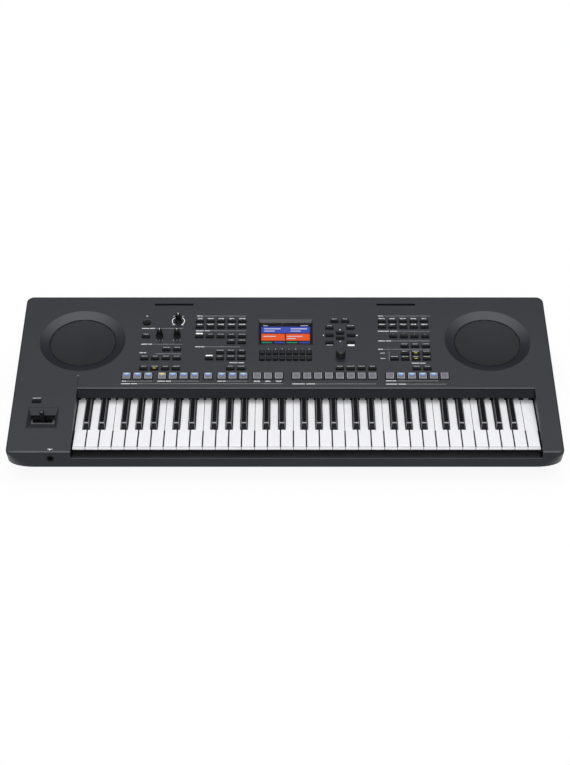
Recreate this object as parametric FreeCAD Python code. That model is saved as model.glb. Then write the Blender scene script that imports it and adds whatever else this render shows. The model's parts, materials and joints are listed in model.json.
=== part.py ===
import FreeCAD, Part
import math
import os

os.makedirs("parts", exist_ok=True)

# Lengths are in millimetres. X runs to the right, Y to the rear, Z up.
# "Depth" is measured back from the front face, "row" is measured up the sloping panel from its front edge,
# "rise" is measured out of the panel along its normal.

# Case
cheek_above_keys = 3.9
panel_climb = 65.85
rear_zone = 68.4
seam_height = 33.0
foot_height = 8.0
case_wall = 3.0
front_top_corner = 9.0
front_seam_corner_width = 49.0
front_seam_corner_depth = 24.0
rear_corner = 14.0
corner_blend_height = 60.0
top_edge_round = 3.0
hull_front_inset = 38.0
hull_side_inset = 8.0
hull_rear_inset = 6.0
hull_front_corner = 40.0
left_cheek_width = 116.3
right_cheek_width = 38.7
rail_below_keys = 10.9
rail_cap_depth = 6.0
rail_cap_height = 6.0
rail_cap_round = 2.0
cheek_wall_overlap = 5.0
lip_behind_keys = 6.8
panel_lip_round = 2.2
cut_overrun = 5.0
tiny = 0.001

# Keys
white_pitch = 23.5
key_gap = 1.0
bay_gap = 1.5
key_front = 19.0
key_top = 63.5
key_lip = 6.0
key_plate = 2.4
key_wall = 2.0
key_edge_round = 1.0
black_front = 70.5
black_rear = 152.0
black_rise = 11.0
black_base_width = 12.5
black_top_width = 9.0
black_front_run = 7.0
black_edge_round = 1.1
shank_behind_black = 8.0
tail_width_white = 9.0
tail_width_black = 8.0
tail_drop = 3.5
tail_overlap = 3.0
hinge_behind_shank = 52.0
hinge_below_top = 9.5
hinge_rail_radius = 2.5
hinge_fit_gap = 0.05
hub_radius = 4.5
hub_mouth = 4.0
riser_start = 3.0
riser_end = 6.0
comb_start = 7.5
comb_end = 12.5
comb_thickness = 2.5
comb_spacing = 4.75
stop_hook_width = 6.0
stop_hook_thickness = 2.5
stop_foot_length = 5.0
stop_foot_height = 2.0
white_stop_depth = 52.0
black_stop_depth = 100.0
stop_slot_gap = 1.8
actuator_width = 4.0
actuator_length = 6.0
contact_depth = 130.0

# Key bed
frame_gap = 1.0
frame_front = 5.0
frame_behind_hinge = 30.0
frame_below_top = 19.5
frame_sheet = 2.0
frame_flange = 7.0
hinge_web = 2.0
white_felt_front = 34.0
white_felt_rear = 46.0
black_felt_front = 84.0
black_felt_rear = 94.0
upper_felt_thickness = 2.0
upper_felt_width = 6.0
felt_gap = 0.3
contact_board_front = 112.0
contact_board_rear = 150.0
board_thickness = 1.6
rubber_base_width = 14.0
rubber_base_thickness = 1.0
rubber_dome_radius = 3.4
rubber_dome_height = 4.2
contact_gap = 0.4
frame_screw_front = 64.0
frame_screw_inset = 7.0

# Fallboard strip
strip_lean = 6.3
strip_above_black = 1.5
strip_setback = 1.45
strip_thickness = 2.5
strip_flange = 14.0
strip_end_gap = 0.3

# Push buttons
button_pitch = 20.3
button_space = 4.7
button_length = 7.4
button_rise = 2.4
button_dish = 0.5
pad_space = 6.1
pad_length = 14.8
pad_rise = 2.4
pad_group_gap = 5.0
pad_bank_gap = 12.6
display_button_pitch = 12.72
display_button_space = 2.72
display_button_length = 10.4
hold_button_width = 16.8
hold_button_length = 8.0
standby_radius = 6.0
standby_rise = 1.2
standby_dish_radius = 8.4
standby_dish_depth = 1.4
button_gap = 0.35
flange_lip = 0.9
flange_gap = 0.3
flange_thickness = 1.2
stem_size = 4.0
stem_length = 4.5
switch_size = 6.0
switch_height = 3.5
switch_gap = 1.0

# Rows of the panel, each as its distance above the one that it is measured from
pad_above_lip = 31.2
low_above_pad = 20.2
sixth_above_low = 26.8
fifth_above_sixth = 15.9
transpose_above_sixth = 23.8
effect_above_sixth = 32.7
fourth_above_fifth = 27.4
third_above_fourth = 16.1
second_above_third = 26.0
first_above_second = 16.0
part_low_above_low = 25.7
part_high_above_part_low = 14.3
dial_above_low = 35.3
exit_above_dial = 34.3
down_above_exit = 12.4
side_above_down = 7.6
up_above_down = 13.8
page_above_side = 19.9
cursor_top_above_page = 18.7
live_above_transpose = 37.4
volume_above_live = 41.7
standby_above_third = 38.6
speaker_above_lip = 126.8
display_above_fifth = 56.0
joystick_row = 84.3
hold_above_joystick = 42.2

# Columns of the panel, from the middle of the case or in from its sides
left_column = -265.3
style_column = -163.4
display_column = -43.5
cursor_column = 105.2
bank_column = 102.8
voice_column = 186.0
style_pad_column = -295.6
hold_inset = 44.5
joystick_inset = 59.2
volume_column = -205.0
live_column = -239.0
live_pitch = 33.2

# Switch boards under the panel
board_side_rim = 22.0
board_inner_rim = 20.4
board_low_rim = 7.2
board_high_rim = 10.1
pad_board_side_rim = 16.4
pad_board_low_rim = 17.0
pad_board_high_rim = 11.0
display_board_side_rim = 16.5
display_board_low_rim = 9.0
display_board_high_rim = 13.1
hold_board_width = 37.0
hold_board_length = 15.0
stake_inset = 4.0
stake_radius = 3.0
stake_pin_radius = 1.4
stake_pin_gap = 0.3
stake_pin_end = 1.0

# Knobs
knob_clearance = 0.6
knob_radius_volume = 7.6
knob_radius_live = 7.1
knob_height = 17.0
knob_skirt_height = 2.0
knob_waist_radius = 6.0
knob_top_radius = 4.6
knob_edge = 0.8
knob_groove_width = 1.2
knob_groove_depth = 0.8
dial_radius = 9.1
dial_height = 15.0
dial_edge = 1.2
dial_dimple_radius = 4.0
dial_dimple_depth = 1.0
dial_dimple_offset = 4.6
pot_size = 11.6
pot_height = 7.4
pot_bush_radius = 3.6
pot_bush_gap = 0.3
pot_shaft_radius = 3.0
pot_shaft_rise = 10.5
shaft_fit_gap = 0.05
shaft_end_gap = 0.5
shaft_hole_radius = 4.4

# Joystick
well_width = 57.0
well_length = 53.0
well_rim = 1.4
well_fit_gap = 0.2
gate_width = 45.0
gate_length = 22.0
gate_depth = 5.2
gate_plate = 1.4
housing_depth = 38.0
housing_wall = 2.5
housing_flange = 3.0
housing_flange_thickness = 2.0
barrel_radius = 13.0
barrel_wall = 2.0
barrel_half_length = 22.0
barrel_drop = 21.0
barrel_slot_width = 36.0
barrel_slot_length = 9.4
trunnion_radius = 2.5
trunnion_length = 3.6
stick_pin_radius = 2.0
stick_hub_radius = 5.0
stick_width = 8.4
stick_thickness = 7.0
stick_rise = 18.0
stick_round = 2.4

# Speakers
speaker_gap = 28.5
speaker_side = 35.5
bezel_outer_radius = 81.5
bezel_inner_radius = 63.6
bezel_depth = 6.0
speaker_boss_rim = 4.0
speaker_boss_depth = 12.0
grille_seat_width = 3.6
grille_seat_depth = 1.5
grille_thickness = 1.2
grille_fit_gap = 0.5
grille_sag = 3.2
basket_flange_radius = 66.0
basket_flange_thickness = 2.0
basket_mouth_radius = 52.0
basket_wall = 1.6
basket_depth = 27.0
basket_throat_radius = 24.0
magnet_radius = 35.0
magnet_height = 15.0
cone_outer_radius = 49.0
cone_inner_radius = 15.0
cone_depth = 18.0
cone_thickness = 1.0
surround_radius = 57.0
surround_thickness = 1.2
dust_cap_sag = 4.0

# Display
display_x = 1.2
bezel_top_width = 103.6
bezel_top_length = 70.0
window_width = 98.4
window_length = 57.0
window_depth = 3.3
window_thickness = 1.5
window_fit_gap = 0.2
window_ledge = 2.0
display_boss_rim = 4.0
display_boss_depth = 7.0
display_module_thickness = 6.0
display_module_rim = 1.0

# Music rest slots
rest_slot_length = 75.0
rest_slot_width = 5.6
rest_slot_depth = 20.0
rest_slot_wall = 2.4
rest_slot_x = 215.0
rest_slot_from_rear = 22.7

# Sockets
jack_height = 50.0
jack_body_width = 16.0
jack_body_length = 27.0
jack_body_below = 8.4
jack_body_above = 6.6
jack_collar_radius = 5.6
jack_bore_radius = 3.3
jack_bore_length = 27.0
jack_face_recess = 0.3
jack_hole_gap = 0.3
jack_column = -200.0
jack_pitch = 34.0
mini_collar_radius = 4.0
mini_bore_radius = 1.85
headphone_inset = 79.8
headphone_below_keys = 11.5
headphone_collar_radius = 6.5
usb_host_x = -22.0
usb_host_width = 12.0
usb_host_height = 10.8
usb_host_hole_width = 8.6
usb_host_hole_height = 7.8
usb_host_post_width = 5.6
usb_host_post_height = 3.2
usb_device_x = 18.0
usb_device_width = 14.6
usb_device_height = 7.2
usb_device_hole_width = 12.6
usb_device_hole_height = 5.2
usb_device_tongue = 1.9
usb_length = 17.0
usb_hole_depth = 12.0
inlet_x = 62.0
inlet_width = 11.0
inlet_length = 15.0
inlet_bore_radius = 3.2
inlet_bore_depth = 10.0
inlet_pin_radius = 1.0

# Main board
main_board_start = -230.0
main_board_end = 110.0
main_board_length = 101.0
main_board_rear_gap = 3.0
chip_width = 28.0
chip_height = 2.5
sink_width = 60.0
sink_length = 14.0
sink_height = 22.0
can_radius = 6.0
can_height = 16.0
board_post_radius = 4.0
board_post_inset = 8.0

# Feet and screws
foot_radius = 11.0
foot_recess = 1.5
foot_recess_gap = 0.3
foot_inset = 62.0
foot_front = 70.0
foot_from_rear = 40.0
post_radius = 5.0
post_inset = 16.0
post_front = 60.0
post_middle = 200.0
post_from_rear = 70.0
rear_post_inset = 18.0
rear_post_x = 330.0
rear_post_gap = 40.0
screw_head_radius = 3.4
screw_head_height = 2.4
screw_shank_radius = 1.5
screw_length = 20.0
screw_hole_radius = 1.9
screw_well_radius = 4.0
screw_seat_height = 20.0
frame_screw_length = 12.0

# Counts, angles and shares
white_count = 36
octave_count = 5
octave_whites = 7
white_dip = 3.0
black_dip = 3.6
frame_screw_shares = (0.06, 0.35, 0.64, 0.94)
end_shares = (0.0, 1.0)
low_shares = (0.0,)
middle_shares = (0.5,)
stake_row_shares = (0.0, 0.5, 1.0)
pad_stake_shares = (0.0, 0.26, 0.5, 0.74, 1.0)
chip_shares = (0.25, 0.5)
sink_share = 0.75
can_shares = (0.62, 0.7, 0.78)
bank_count = 5
jack_count = 4
registration_count = 8
multi_count = 6
style_pad_groups = (3, 4, 1, 3, 3)

# Derived rows, each measured up the panel from its front edge
panel_lip_row = black_rear + lip_behind_keys
pad_row = panel_lip_row + pad_above_lip
low_row = pad_row + low_above_pad
sixth_row = low_row + sixth_above_low
fifth_row = sixth_row + fifth_above_sixth
transpose_row = sixth_row + transpose_above_sixth
effect_row = sixth_row + effect_above_sixth
fourth_row = fifth_row + fourth_above_fifth
third_row = fourth_row + third_above_fourth
second_row = third_row + second_above_third
first_row = second_row + first_above_second
part_low_row = low_row + part_low_above_low
part_high_row = part_low_row + part_high_above_part_low
dial_row = low_row + dial_above_low
cursor_exit_row = dial_row + exit_above_dial
cursor_down_row = cursor_exit_row + down_above_exit
cursor_side_row = cursor_down_row + side_above_down
cursor_up_row = cursor_down_row + up_above_down
cursor_page_row = cursor_side_row + page_above_side
cursor_top_row = cursor_page_row + cursor_top_above_page
live_row = transpose_row + live_above_transpose
volume_row = live_row + volume_above_live
standby_row = third_row + standby_above_third
speaker_row = panel_lip_row + speaker_above_lip
display_row = fifth_row + display_above_fifth
hold_row = joystick_row + hold_above_joystick
top_row = max(first_row, cursor_top_row, volume_row, standby_row)
panel_rear_row = top_row + rear_zone

# Derived size of the case: as wide as the keys or the panel need, as deep as the rows of the panel need
button_width = button_pitch - button_space
pad_width = button_pitch - pad_space
display_button_width = display_button_pitch - display_button_space
control_half = voice_column + (bank_count - 1) * button_pitch + button_width / 2
speaker_x = control_half + speaker_gap + bezel_outer_radius
key_span = left_cheek_width + white_count * white_pitch + 2 * bay_gap + right_cheek_width
panel_span = 2 * (speaker_x + bezel_outer_radius + speaker_side)
case_width = max(key_span, panel_span)
panel_slope = math.asin(panel_climb / panel_rear_row)
case_depth = panel_rear_row * math.cos(panel_slope)
front_edge_height = key_top + cheek_above_keys
rear_edge_height = front_edge_height + panel_climb

# Derived frame of reference
half_width = case_width / 2
front_y = -case_depth / 2
panel_place = FreeCAD.Placement(
    FreeCAD.Vector(0, front_y, front_edge_height),
    FreeCAD.Rotation(FreeCAD.Vector(1, 0, 0), math.degrees(panel_slope)),
)
panel_matrix = panel_place.toMatrix()
along_x = FreeCAD.Vector(1, 0, 0)
along_y = FreeCAD.Vector(0, 1, 0)
bay_right = half_width - right_cheek_width
key_right = bay_right - bay_gap
key_left = key_right - white_count * white_pitch
bay_left = key_left - bay_gap
key_under = key_top - key_lip
shank_rear = black_rear + shank_behind_black
hinge_depth = shank_rear + hinge_behind_shank
hinge_height = key_top - hinge_below_top
head_rear = black_front - key_gap
rail_height = key_top - rail_below_keys
frame_top = key_top - frame_below_top
frame_rear = hinge_depth + frame_behind_hinge
frame_screw_rear = frame_rear - frame_screw_inset
lip_depth = panel_lip_row * math.cos(panel_slope)
octave_width = octave_whites * white_pitch

# What later sections add to the upper case and cut from it, in the case frame and in the panel frame
case_adds = []
case_cuts = []
panel_adds = []
panel_cuts = []
nodes = {}


def block(x_start, x_end, depth_start, depth_end, bottom, top):
    """Box in the case frame between the given limits."""
    corner = FreeCAD.Vector(x_start, front_y + depth_start, bottom)
    return Part.makeBox(x_end - x_start, depth_end - depth_start, top - bottom, corner)


def post(x, depth, radius, bottom, top):
    """Upright cylinder in the case frame."""
    return Part.makeCylinder(radius, top - bottom, FreeCAD.Vector(x, front_y + depth, bottom))


def cross_rod(x_start, x_end, depth, height, radius):
    """Cylinder along X in the case frame."""
    start = FreeCAD.Vector(x_start, front_y + depth, height)
    return Part.makeCylinder(radius, x_end - x_start, start, along_x)


def deep_rod(x, depth_start, depth_end, height, radius):
    """Cylinder along Y in the case frame."""
    start = FreeCAD.Vector(x, front_y + depth_start, height)
    return Part.makeCylinder(radius, depth_end - depth_start, start, along_y)


def slab(x, row, width, length, low, high):
    """Box in the panel frame, centred on x and row, between two rises."""
    corner = FreeCAD.Vector(x - width / 2, row - length / 2, low)
    return Part.makeBox(width, length, high - low, corner)


def disc(x, row, radius, low, high):
    """Cylinder along the panel normal, in the panel frame."""
    return Part.makeCylinder(radius, high - low, FreeCAD.Vector(x, row, low))


def on_panel(shape):
    """The shape moved from the panel frame to the case frame."""
    return shape.transformed(panel_matrix)


def panel_height(depth):
    """Height of the panel surface at a depth behind the front face."""
    return front_edge_height + depth * math.tan(panel_slope)


def swept(points, x_start, x_end):
    """Closed profile of depth and height pairs, run along X."""
    corners = [FreeCAD.Vector(x_start, front_y + depth, height) for depth, height in points]
    profile = Part.Face(Part.makePolygon(corners + corners[:1]))
    return profile.extrude(FreeCAD.Vector(x_end - x_start, 0, 0))


def revolved(profile):
    """Solid of revolution about the Z axis from a face in the XZ plane."""
    return profile.revolve(FreeCAD.Vector(0, 0, 0), FreeCAD.Vector(0, 0, 1), 360)


def turned(points):
    """Solid of revolution about the Z axis from radius and height pairs."""
    corners = [FreeCAD.Vector(radius, 0, height) for radius, height in points]
    return revolved(Part.Face(Part.makePolygon(corners + corners[:1])))


def tapered(x, row, low_size, low, high_size, high):
    """Straight funnel between two centred rectangles, each a width and a length, in the panel frame."""
    wires = []
    for size, rise in ((low_size, low), (high_size, high)):
        half_x = size[0] / 2
        half_row = size[1] / 2
        corners = [
            FreeCAD.Vector(x - half_x, row - half_row, rise),
            FreeCAD.Vector(x + half_x, row - half_row, rise),
            FreeCAD.Vector(x + half_x, row + half_row, rise),
            FreeCAD.Vector(x - half_x, row + half_row, rise),
        ]
        wires.append(Part.makePolygon(corners + corners[:1]))
    return Part.makeLoft(wires, True, True)


def outline(x_start, x_end, y_start, y_end, front_width, front_depth, back_corner, height):
    """Closed rounded rectangle, with quarter ellipses in front and quarter circles behind."""
    quarters = [
        (x_start + front_width, y_start + front_depth, front_width, front_depth, math.pi),
        (x_end - front_width, y_start + front_depth, front_width, front_depth, 1.5 * math.pi),
        (x_end - back_corner, y_end - back_corner, back_corner, back_corner, 0.0),
        (x_start + back_corner, y_end - back_corner, back_corner, back_corner, 0.5 * math.pi),
    ]
    arcs = []
    for x, y, width, depth, start in quarters:
        middle = FreeCAD.Vector(x, y, height)
        if width > depth:
            curve = Part.Ellipse(middle, width, depth)
        else:
            curve = Part.Circle(middle, FreeCAD.Vector(0, 0, 1), depth)
        arcs.append(curve.toShape(start, start + math.pi / 2))
    edges = []
    for index, arc in enumerate(arcs):
        following = arcs[(index + 1) % len(arcs)]
        arc_end = arc.valueAt(arc.LastParameter)
        next_start = following.valueAt(following.FirstParameter)
        edges.append(arc)
        edges.append(Part.makeLine(arc_end, next_start))
    return Part.Wire(edges)


def case_outline(inset, corner_width, corner_depth, height):
    """Plan outline of the upper case, drawn in by the inset."""
    return outline(
        inset - half_width, half_width - inset, front_y + inset, -front_y - inset,
        corner_width - inset, corner_depth - inset, rear_corner - inset, height,
    )


def seam_outline(inset):
    """Plan outline at the seam between the two cases, where the front corners sweep back."""
    return case_outline(inset, front_seam_corner_width, front_seam_corner_depth, seam_height)


def hull_outline(inset, height):
    """Plan outline of the underside, drawn in by the inset."""
    return outline(
        hull_side_inset + inset - half_width, half_width - hull_side_inset - inset,
        front_y + hull_front_inset + inset, -front_y - hull_rear_inset - inset,
        hull_front_corner - inset, hull_front_corner - inset, rear_corner - inset, height,
    )


# Keys: each is a thin-walled cap with a tail that snaps on the hinge rail
black_cut = black_base_width / 2 + key_gap
three_tail = (3 * white_pitch - 4 * black_cut) / 3
four_tail = (4 * white_pitch - 6 * black_cut) / 4
black_places = [
    three_tail + black_cut,
    3 * white_pitch - three_tail - black_cut,
    3 * white_pitch + four_tail + black_cut,
    5 * white_pitch,
    octave_width - four_tail - black_cut,
]
dome_top = frame_top + board_thickness + rubber_base_thickness + rubber_dome_height
contact_reach = hinge_depth - contact_depth
white_actuator = dome_top + contact_gap + contact_reach * math.tan(math.radians(white_dip))
black_actuator = dome_top + contact_gap + contact_reach * math.tan(math.radians(black_dip))
stop_top = frame_top - frame_sheet - upper_felt_thickness - felt_gap


def hinge_tail(middle, width, start, layer):
    """Tail, snap hub and link of one key, reaching back to its comb bar in the given layer."""
    left = middle - width / 2
    right = middle + width / 2
    layer_low = hinge_height + layer * comb_spacing - comb_thickness / 2
    layer_high = layer_low + comb_thickness
    riser_low = min(layer_low, hinge_height - comb_thickness / 2)
    riser_high = max(layer_high, hinge_height + comb_thickness / 2)
    return [
        block(left, right, start, hinge_depth, hinge_height - tail_drop, key_under + tail_overlap),
        cross_rod(left, right, hinge_depth, hinge_height, hub_radius),
        block(left, right, hinge_depth + riser_start, hinge_depth + riser_end, riser_low, riser_high),
        block(left, right, hinge_depth + riser_start, hinge_depth + comb_end, layer_low, layer_high),
    ]


def hinge_cuts(middle, width):
    """Bore and downward mouth of the snap hub."""
    left = middle - width
    right = middle + width
    bore = cross_rod(left, right, hinge_depth, hinge_height, hinge_rail_radius + hinge_fit_gap)
    mouth_front = hinge_depth - hub_mouth / 2
    mouth = block(left, right, mouth_front, mouth_front + hub_mouth, frame_top, hinge_height)
    return [bore, mouth]


def stop_hook(middle, depth):
    """Tab that drops through the frame, with a foot that catches under it."""
    left = middle - stop_hook_width / 2
    right = middle + stop_hook_width / 2
    foot_bottom = stop_top - stop_foot_height
    tab_rear = depth + stop_hook_thickness
    tab = block(left, right, depth, tab_rear, foot_bottom, key_top - key_plate / 2)
    foot = block(left, right, depth - stop_foot_length, tab_rear, foot_bottom, stop_top)
    return [tab, foot]


def actuator(middle, bottom):
    """Nub that presses the contact rubber."""
    half = actuator_length / 2
    left = middle - actuator_width / 2
    right = middle + actuator_width / 2
    return block(left, right, contact_depth - half, contact_depth + half, bottom, key_top - key_plate / 2)


def white_sides(note):
    """Left and right limits of the head and of the shank of a white key within its octave."""
    left = note * white_pitch + key_gap / 2
    right = (note + 1) * white_pitch - key_gap / 2
    shank_left = left
    shank_right = right
    for place in black_places:
        if left < place + black_cut < right:
            shank_left = place + black_cut
        if left < place - black_cut < right:
            shank_right = place - black_cut
    return left, right, shank_left, shank_right


def white_key(note, layer):
    """White key of one note, counted from C."""
    left, right, shank_left, shank_right = white_sides(note)
    shank_middle = (shank_left + shank_right) / 2
    head = block(left, right, key_front, head_rear, key_under, key_top)
    rear_y = front_y + head_rear
    rim = [
        edge for edge in head.Edges
        if edge.BoundBox.ZMin > key_top - tiny and edge.BoundBox.YMin < rear_y - tiny
    ]
    head = head.makeFillet(key_edge_round, rim)
    hollow_top = key_top - key_plate
    shank = block(shank_left, shank_right, head_rear - key_wall, shank_rear, key_under, key_top)
    head_hollow = block(
        left + key_wall, right - key_wall, key_front + key_wall, head_rear - key_wall,
        key_under - cut_overrun, hollow_top,
    )
    shank_hollow = block(
        shank_left + key_wall, shank_right - key_wall, head_rear, shank_rear - key_wall,
        key_under - cut_overrun, hollow_top,
    )
    cap = head.fuse(shank).cut([head_hollow, shank_hollow])
    pieces = hinge_tail(shank_middle, tail_width_white, shank_rear - key_wall, layer)
    pieces += stop_hook((left + right) / 2, white_stop_depth)
    pieces.append(actuator(shank_middle, white_actuator))
    return cap.fuse(pieces).cut(hinge_cuts(shank_middle, tail_width_white))


def black_key(place, layer):
    """Black key at its place within the octave."""
    left = place - black_base_width / 2
    base = block(left, left + black_base_width, black_front, black_rear, key_under, key_top)
    inset = (black_base_width - black_top_width) / 2
    wedge = Part.makeWedge(
        0, 0, 0, 0, inset, black_base_width, black_rise, black_rear - black_front,
        black_rear - black_front - black_front_run, black_base_width - inset,
    )
    crest = [
        edge for edge in wedge.Edges
        if edge.BoundBox.YMax > black_rise - tiny and edge.BoundBox.ZMax > tiny
    ]
    wedge = wedge.makeFillet(black_edge_round, crest)
    wedge.rotate(FreeCAD.Vector(0, 0, 0), along_x, 90)
    wedge.translate(FreeCAD.Vector(left, front_y + black_rear, key_top))
    hollow_left = left + key_wall
    hollow_right = left + black_base_width - key_wall
    hollow = block(
        hollow_left, hollow_right, black_front + key_wall, black_rear - key_wall,
        key_under - cut_overrun, key_top - key_plate,
    )
    pieces = hinge_tail(place, tail_width_black, black_rear - key_wall, layer)
    pieces += stop_hook(place, black_stop_depth)
    pieces.append(actuator(place, black_actuator))
    cap = base.cut(hollow).fuse(wedge)
    return cap.fuse(pieces).cut(hinge_cuts(place, tail_width_black))


def key_comb(keys, middles, width, layer):
    """Keys of one moulding joined by the bar behind their hubs."""
    low = hinge_height + layer * comb_spacing - comb_thickness / 2
    bar = block(
        middles[0] - width / 2, middles[-1] + width / 2,
        hinge_depth + comb_start, hinge_depth + comb_end, low, low + comb_thickness,
    )
    return bar.fuse(keys).removeSplitter()


def shank_middles(notes):
    """Shank centres of white keys."""
    return [sum(white_sides(note)[2:]) / 2 for note in notes]


outer_notes = [0, 2, 4, 6]
inner_notes = [1, 3, 5]
top_notes = outer_notes + [octave_whites]
outer_keys = [white_key(note, -1) for note in outer_notes]
inner_keys = [white_key(note, 0) for note in inner_notes]
black_keys = [black_key(place, 1) for place in black_places]
top_key = white_key(octave_whites, -1)
outer_comb = key_comb(outer_keys, shank_middles(outer_notes), tail_width_white, -1)
top_comb = key_comb(outer_keys + [top_key], shank_middles(top_notes), tail_width_white, -1)
inner_comb = key_comb(inner_keys, shank_middles(inner_notes), tail_width_white, 0)
black_comb = key_comb(black_keys, black_places, tail_width_black, 1)
white_centres = []
contact_places = []
black_centres = []
for octave in range(octave_count):
    octave_left = key_left + octave * octave_width
    shift = FreeCAD.Vector(octave_left, 0, 0)
    last = octave == octave_count - 1
    number = octave + 1
    nodes["keys_c_e_g_b_%d" % number] = (top_comb if last else outer_comb).translated(shift)
    nodes["keys_d_f_a_%d" % number] = inner_comb.translated(shift)
    nodes["keys_black_%d" % number] = black_comb.translated(shift)
    notes = range(octave_whites + 1) if last else range(octave_whites)
    white_centres += [octave_left + (note + 0.5) * white_pitch for note in notes]
    contact_places += [octave_left + middle for middle in shank_middles(notes)]
    contact_places += [octave_left + place for place in black_places]
    black_centres += [octave_left + place for place in black_places]

# Key frame: folded sheet with the hinge rail on a web, slots for the stop hooks
frame_left = bay_left + frame_gap
frame_right = bay_right - frame_gap
frame_under = frame_top - frame_sheet
flange_low = frame_top - frame_flange
web_front = hinge_depth - hinge_web / 2
frame = block(frame_left, frame_right, frame_front, frame_rear, frame_under, frame_top)
frame = frame.fuse([
    block(frame_left, frame_right, frame_front, frame_front + frame_sheet, flange_low, frame_top),
    block(frame_left, frame_right, frame_rear - frame_sheet, frame_rear, flange_low, frame_top),
    block(frame_left, frame_right, web_front, web_front + hinge_web, frame_under, hinge_height),
    cross_rod(frame_left, frame_right, hinge_depth, hinge_height, hinge_rail_radius),
])


def stop_slot(middle, depth):
    """Slot in the frame for one stop hook."""
    half = stop_hook_width / 2 + stop_slot_gap
    rear = depth + stop_hook_thickness + stop_slot_gap
    return block(middle - half, middle + half, depth - stop_slot_gap, rear, 0, frame_top + cut_overrun)


frame_screw_places = []
for share in frame_screw_shares:
    screw_x = key_left + white_pitch * round(share * white_count)
    frame_screw_places.append((screw_x, frame_screw_front))
    frame_screw_places.append((screw_x, frame_screw_rear))
frame_holes = [stop_slot(middle, white_stop_depth) for middle in white_centres]
frame_holes += [stop_slot(middle, black_stop_depth) for middle in black_centres]
hole_top = frame_top + cut_overrun
frame_holes += [post(x, depth, screw_hole_radius, 0, hole_top) for x, depth in frame_screw_places]
nodes["key_frame"] = frame.cut(frame_holes).removeSplitter()

# Felt stops: two strips under the pressed keys, two above the hook feet
white_press = (hinge_depth - white_felt_front) * math.tan(math.radians(white_dip))
black_press = (hinge_depth - black_felt_front) * math.tan(math.radians(black_dip))
white_felt_top = key_under - white_press - felt_gap
black_felt_top = key_under - black_press - felt_gap
upper_felt_low = frame_under - upper_felt_thickness


def felt(front, rear, bottom, top):
    """One felt strip across the whole key frame."""
    return block(frame_left, frame_right, front, rear, bottom, top)


felts = [
    felt(white_felt_front, white_felt_rear, frame_top, white_felt_top),
    felt(black_felt_front, black_felt_rear, frame_top, black_felt_top),
]
for depth in (white_stop_depth, black_stop_depth):
    felt_rear = depth - stop_slot_gap
    felts.append(felt(felt_rear - upper_felt_width, felt_rear, upper_felt_low, frame_under))
nodes["key_felts"] = Part.makeCompound(felts)

# Key contacts: one long board on the frame and the rubber strip on it
contact_board_top = frame_top + board_thickness
rubber_front = contact_depth - rubber_base_width / 2
rubber_rear = contact_depth + rubber_base_width / 2
dome_bottom = contact_board_top + rubber_base_thickness / 2
nodes["key_contact_board"] = block(
    frame_left, frame_right, contact_board_front, contact_board_rear, frame_top, contact_board_top,
)
rubber = block(
    frame_left, frame_right, rubber_front, rubber_rear,
    contact_board_top, contact_board_top + rubber_base_thickness,
)
domes = [post(x, contact_depth, rubber_dome_radius, dome_bottom, dome_top) for x in contact_places]
nodes["contact_rubbers"] = rubber.fuse(domes).removeSplitter()

# Fallboard strip: leans back from just above the black keys to the panel lip, with a flange under the panel
panel_drop = case_wall / math.cos(panel_slope)
strip_drop = panel_drop + strip_thickness
strip_top_depth = lip_depth - strip_setback
strip_low_depth = strip_top_depth - strip_lean
strip_low_height = key_top + black_rise + strip_above_black
flange_depth = strip_top_depth + strip_flange
strip_profile = [
    (strip_low_depth, strip_low_height),
    (strip_top_depth, panel_height(strip_top_depth) - panel_drop),
    (flange_depth, panel_height(flange_depth) - panel_drop),
    (flange_depth, panel_height(flange_depth) - strip_drop),
    (strip_top_depth + strip_thickness, panel_height(strip_top_depth + strip_thickness) - strip_drop),
    (strip_low_depth + strip_thickness, strip_low_height),
]
nodes["fallboard_strip"] = swept(strip_profile, bay_left + strip_end_gap, bay_right - strip_end_gap)

# Push buttons: cap, retaining flange under the panel and stem above its switch
flange_top = -case_wall - flange_gap
flange_bottom = flange_top - flange_thickness
stem_bottom = flange_bottom - stem_length
switch_top = stem_bottom - switch_gap
switch_board_top = switch_top - switch_height
switch_board_bottom = switch_board_top - board_thickness
switch_places = []


def button(width, length, rise, dish):
    """Rectangular button at the panel origin, its top flat or hollowed along the row by the dish."""
    half_row = length / 2
    low_left = FreeCAD.Vector(-width / 2, -half_row, flange_bottom)
    high_front = FreeCAD.Vector(-width / 2, -half_row, rise)
    high_middle = FreeCAD.Vector(-width / 2, 0, rise - dish)
    high_rear = FreeCAD.Vector(-width / 2, half_row, rise)
    low_rear = FreeCAD.Vector(-width / 2, half_row, flange_bottom)
    top_edge = Part.makeLine(high_front, high_rear)
    if dish:
        top_edge = Part.Arc(high_front, high_middle, high_rear).toShape()
    edges = [Part.makeLine(low_left, high_front), top_edge]
    edges.append(Part.makeLine(high_rear, low_rear))
    edges.append(Part.makeLine(low_rear, low_left))
    cap = Part.Face(Part.Wire(edges)).extrude(FreeCAD.Vector(width, 0, 0))
    flange = slab(0, 0, width + 2 * flange_lip, length + 2 * flange_lip, flange_bottom, flange_top)
    stem = slab(0, 0, stem_size, stem_size, stem_bottom, flange_bottom)
    return cap.fuse([flange, stem]).removeSplitter()


def button_hole(x, row, width, length):
    """Panel opening of one rectangular button."""
    hole_width = width + 2 * button_gap
    hole_length = length + 2 * button_gap
    return slab(x, row, hole_width, hole_length, -case_wall - cut_overrun, cut_overrun)


def bank(name, places, width, length, rise, dish):
    """One bank of like buttons as separate solids, with its panel openings and switch places."""
    pattern = button(width, length, rise, dish)
    solids = [pattern.translated(FreeCAD.Vector(x, row, 0)) for x, row in places]
    nodes[name] = on_panel(Part.makeCompound(solids))
    panel_cuts.extend(button_hole(x, row, width, length) for x, row in places)
    switch_places.extend(places)


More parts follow.
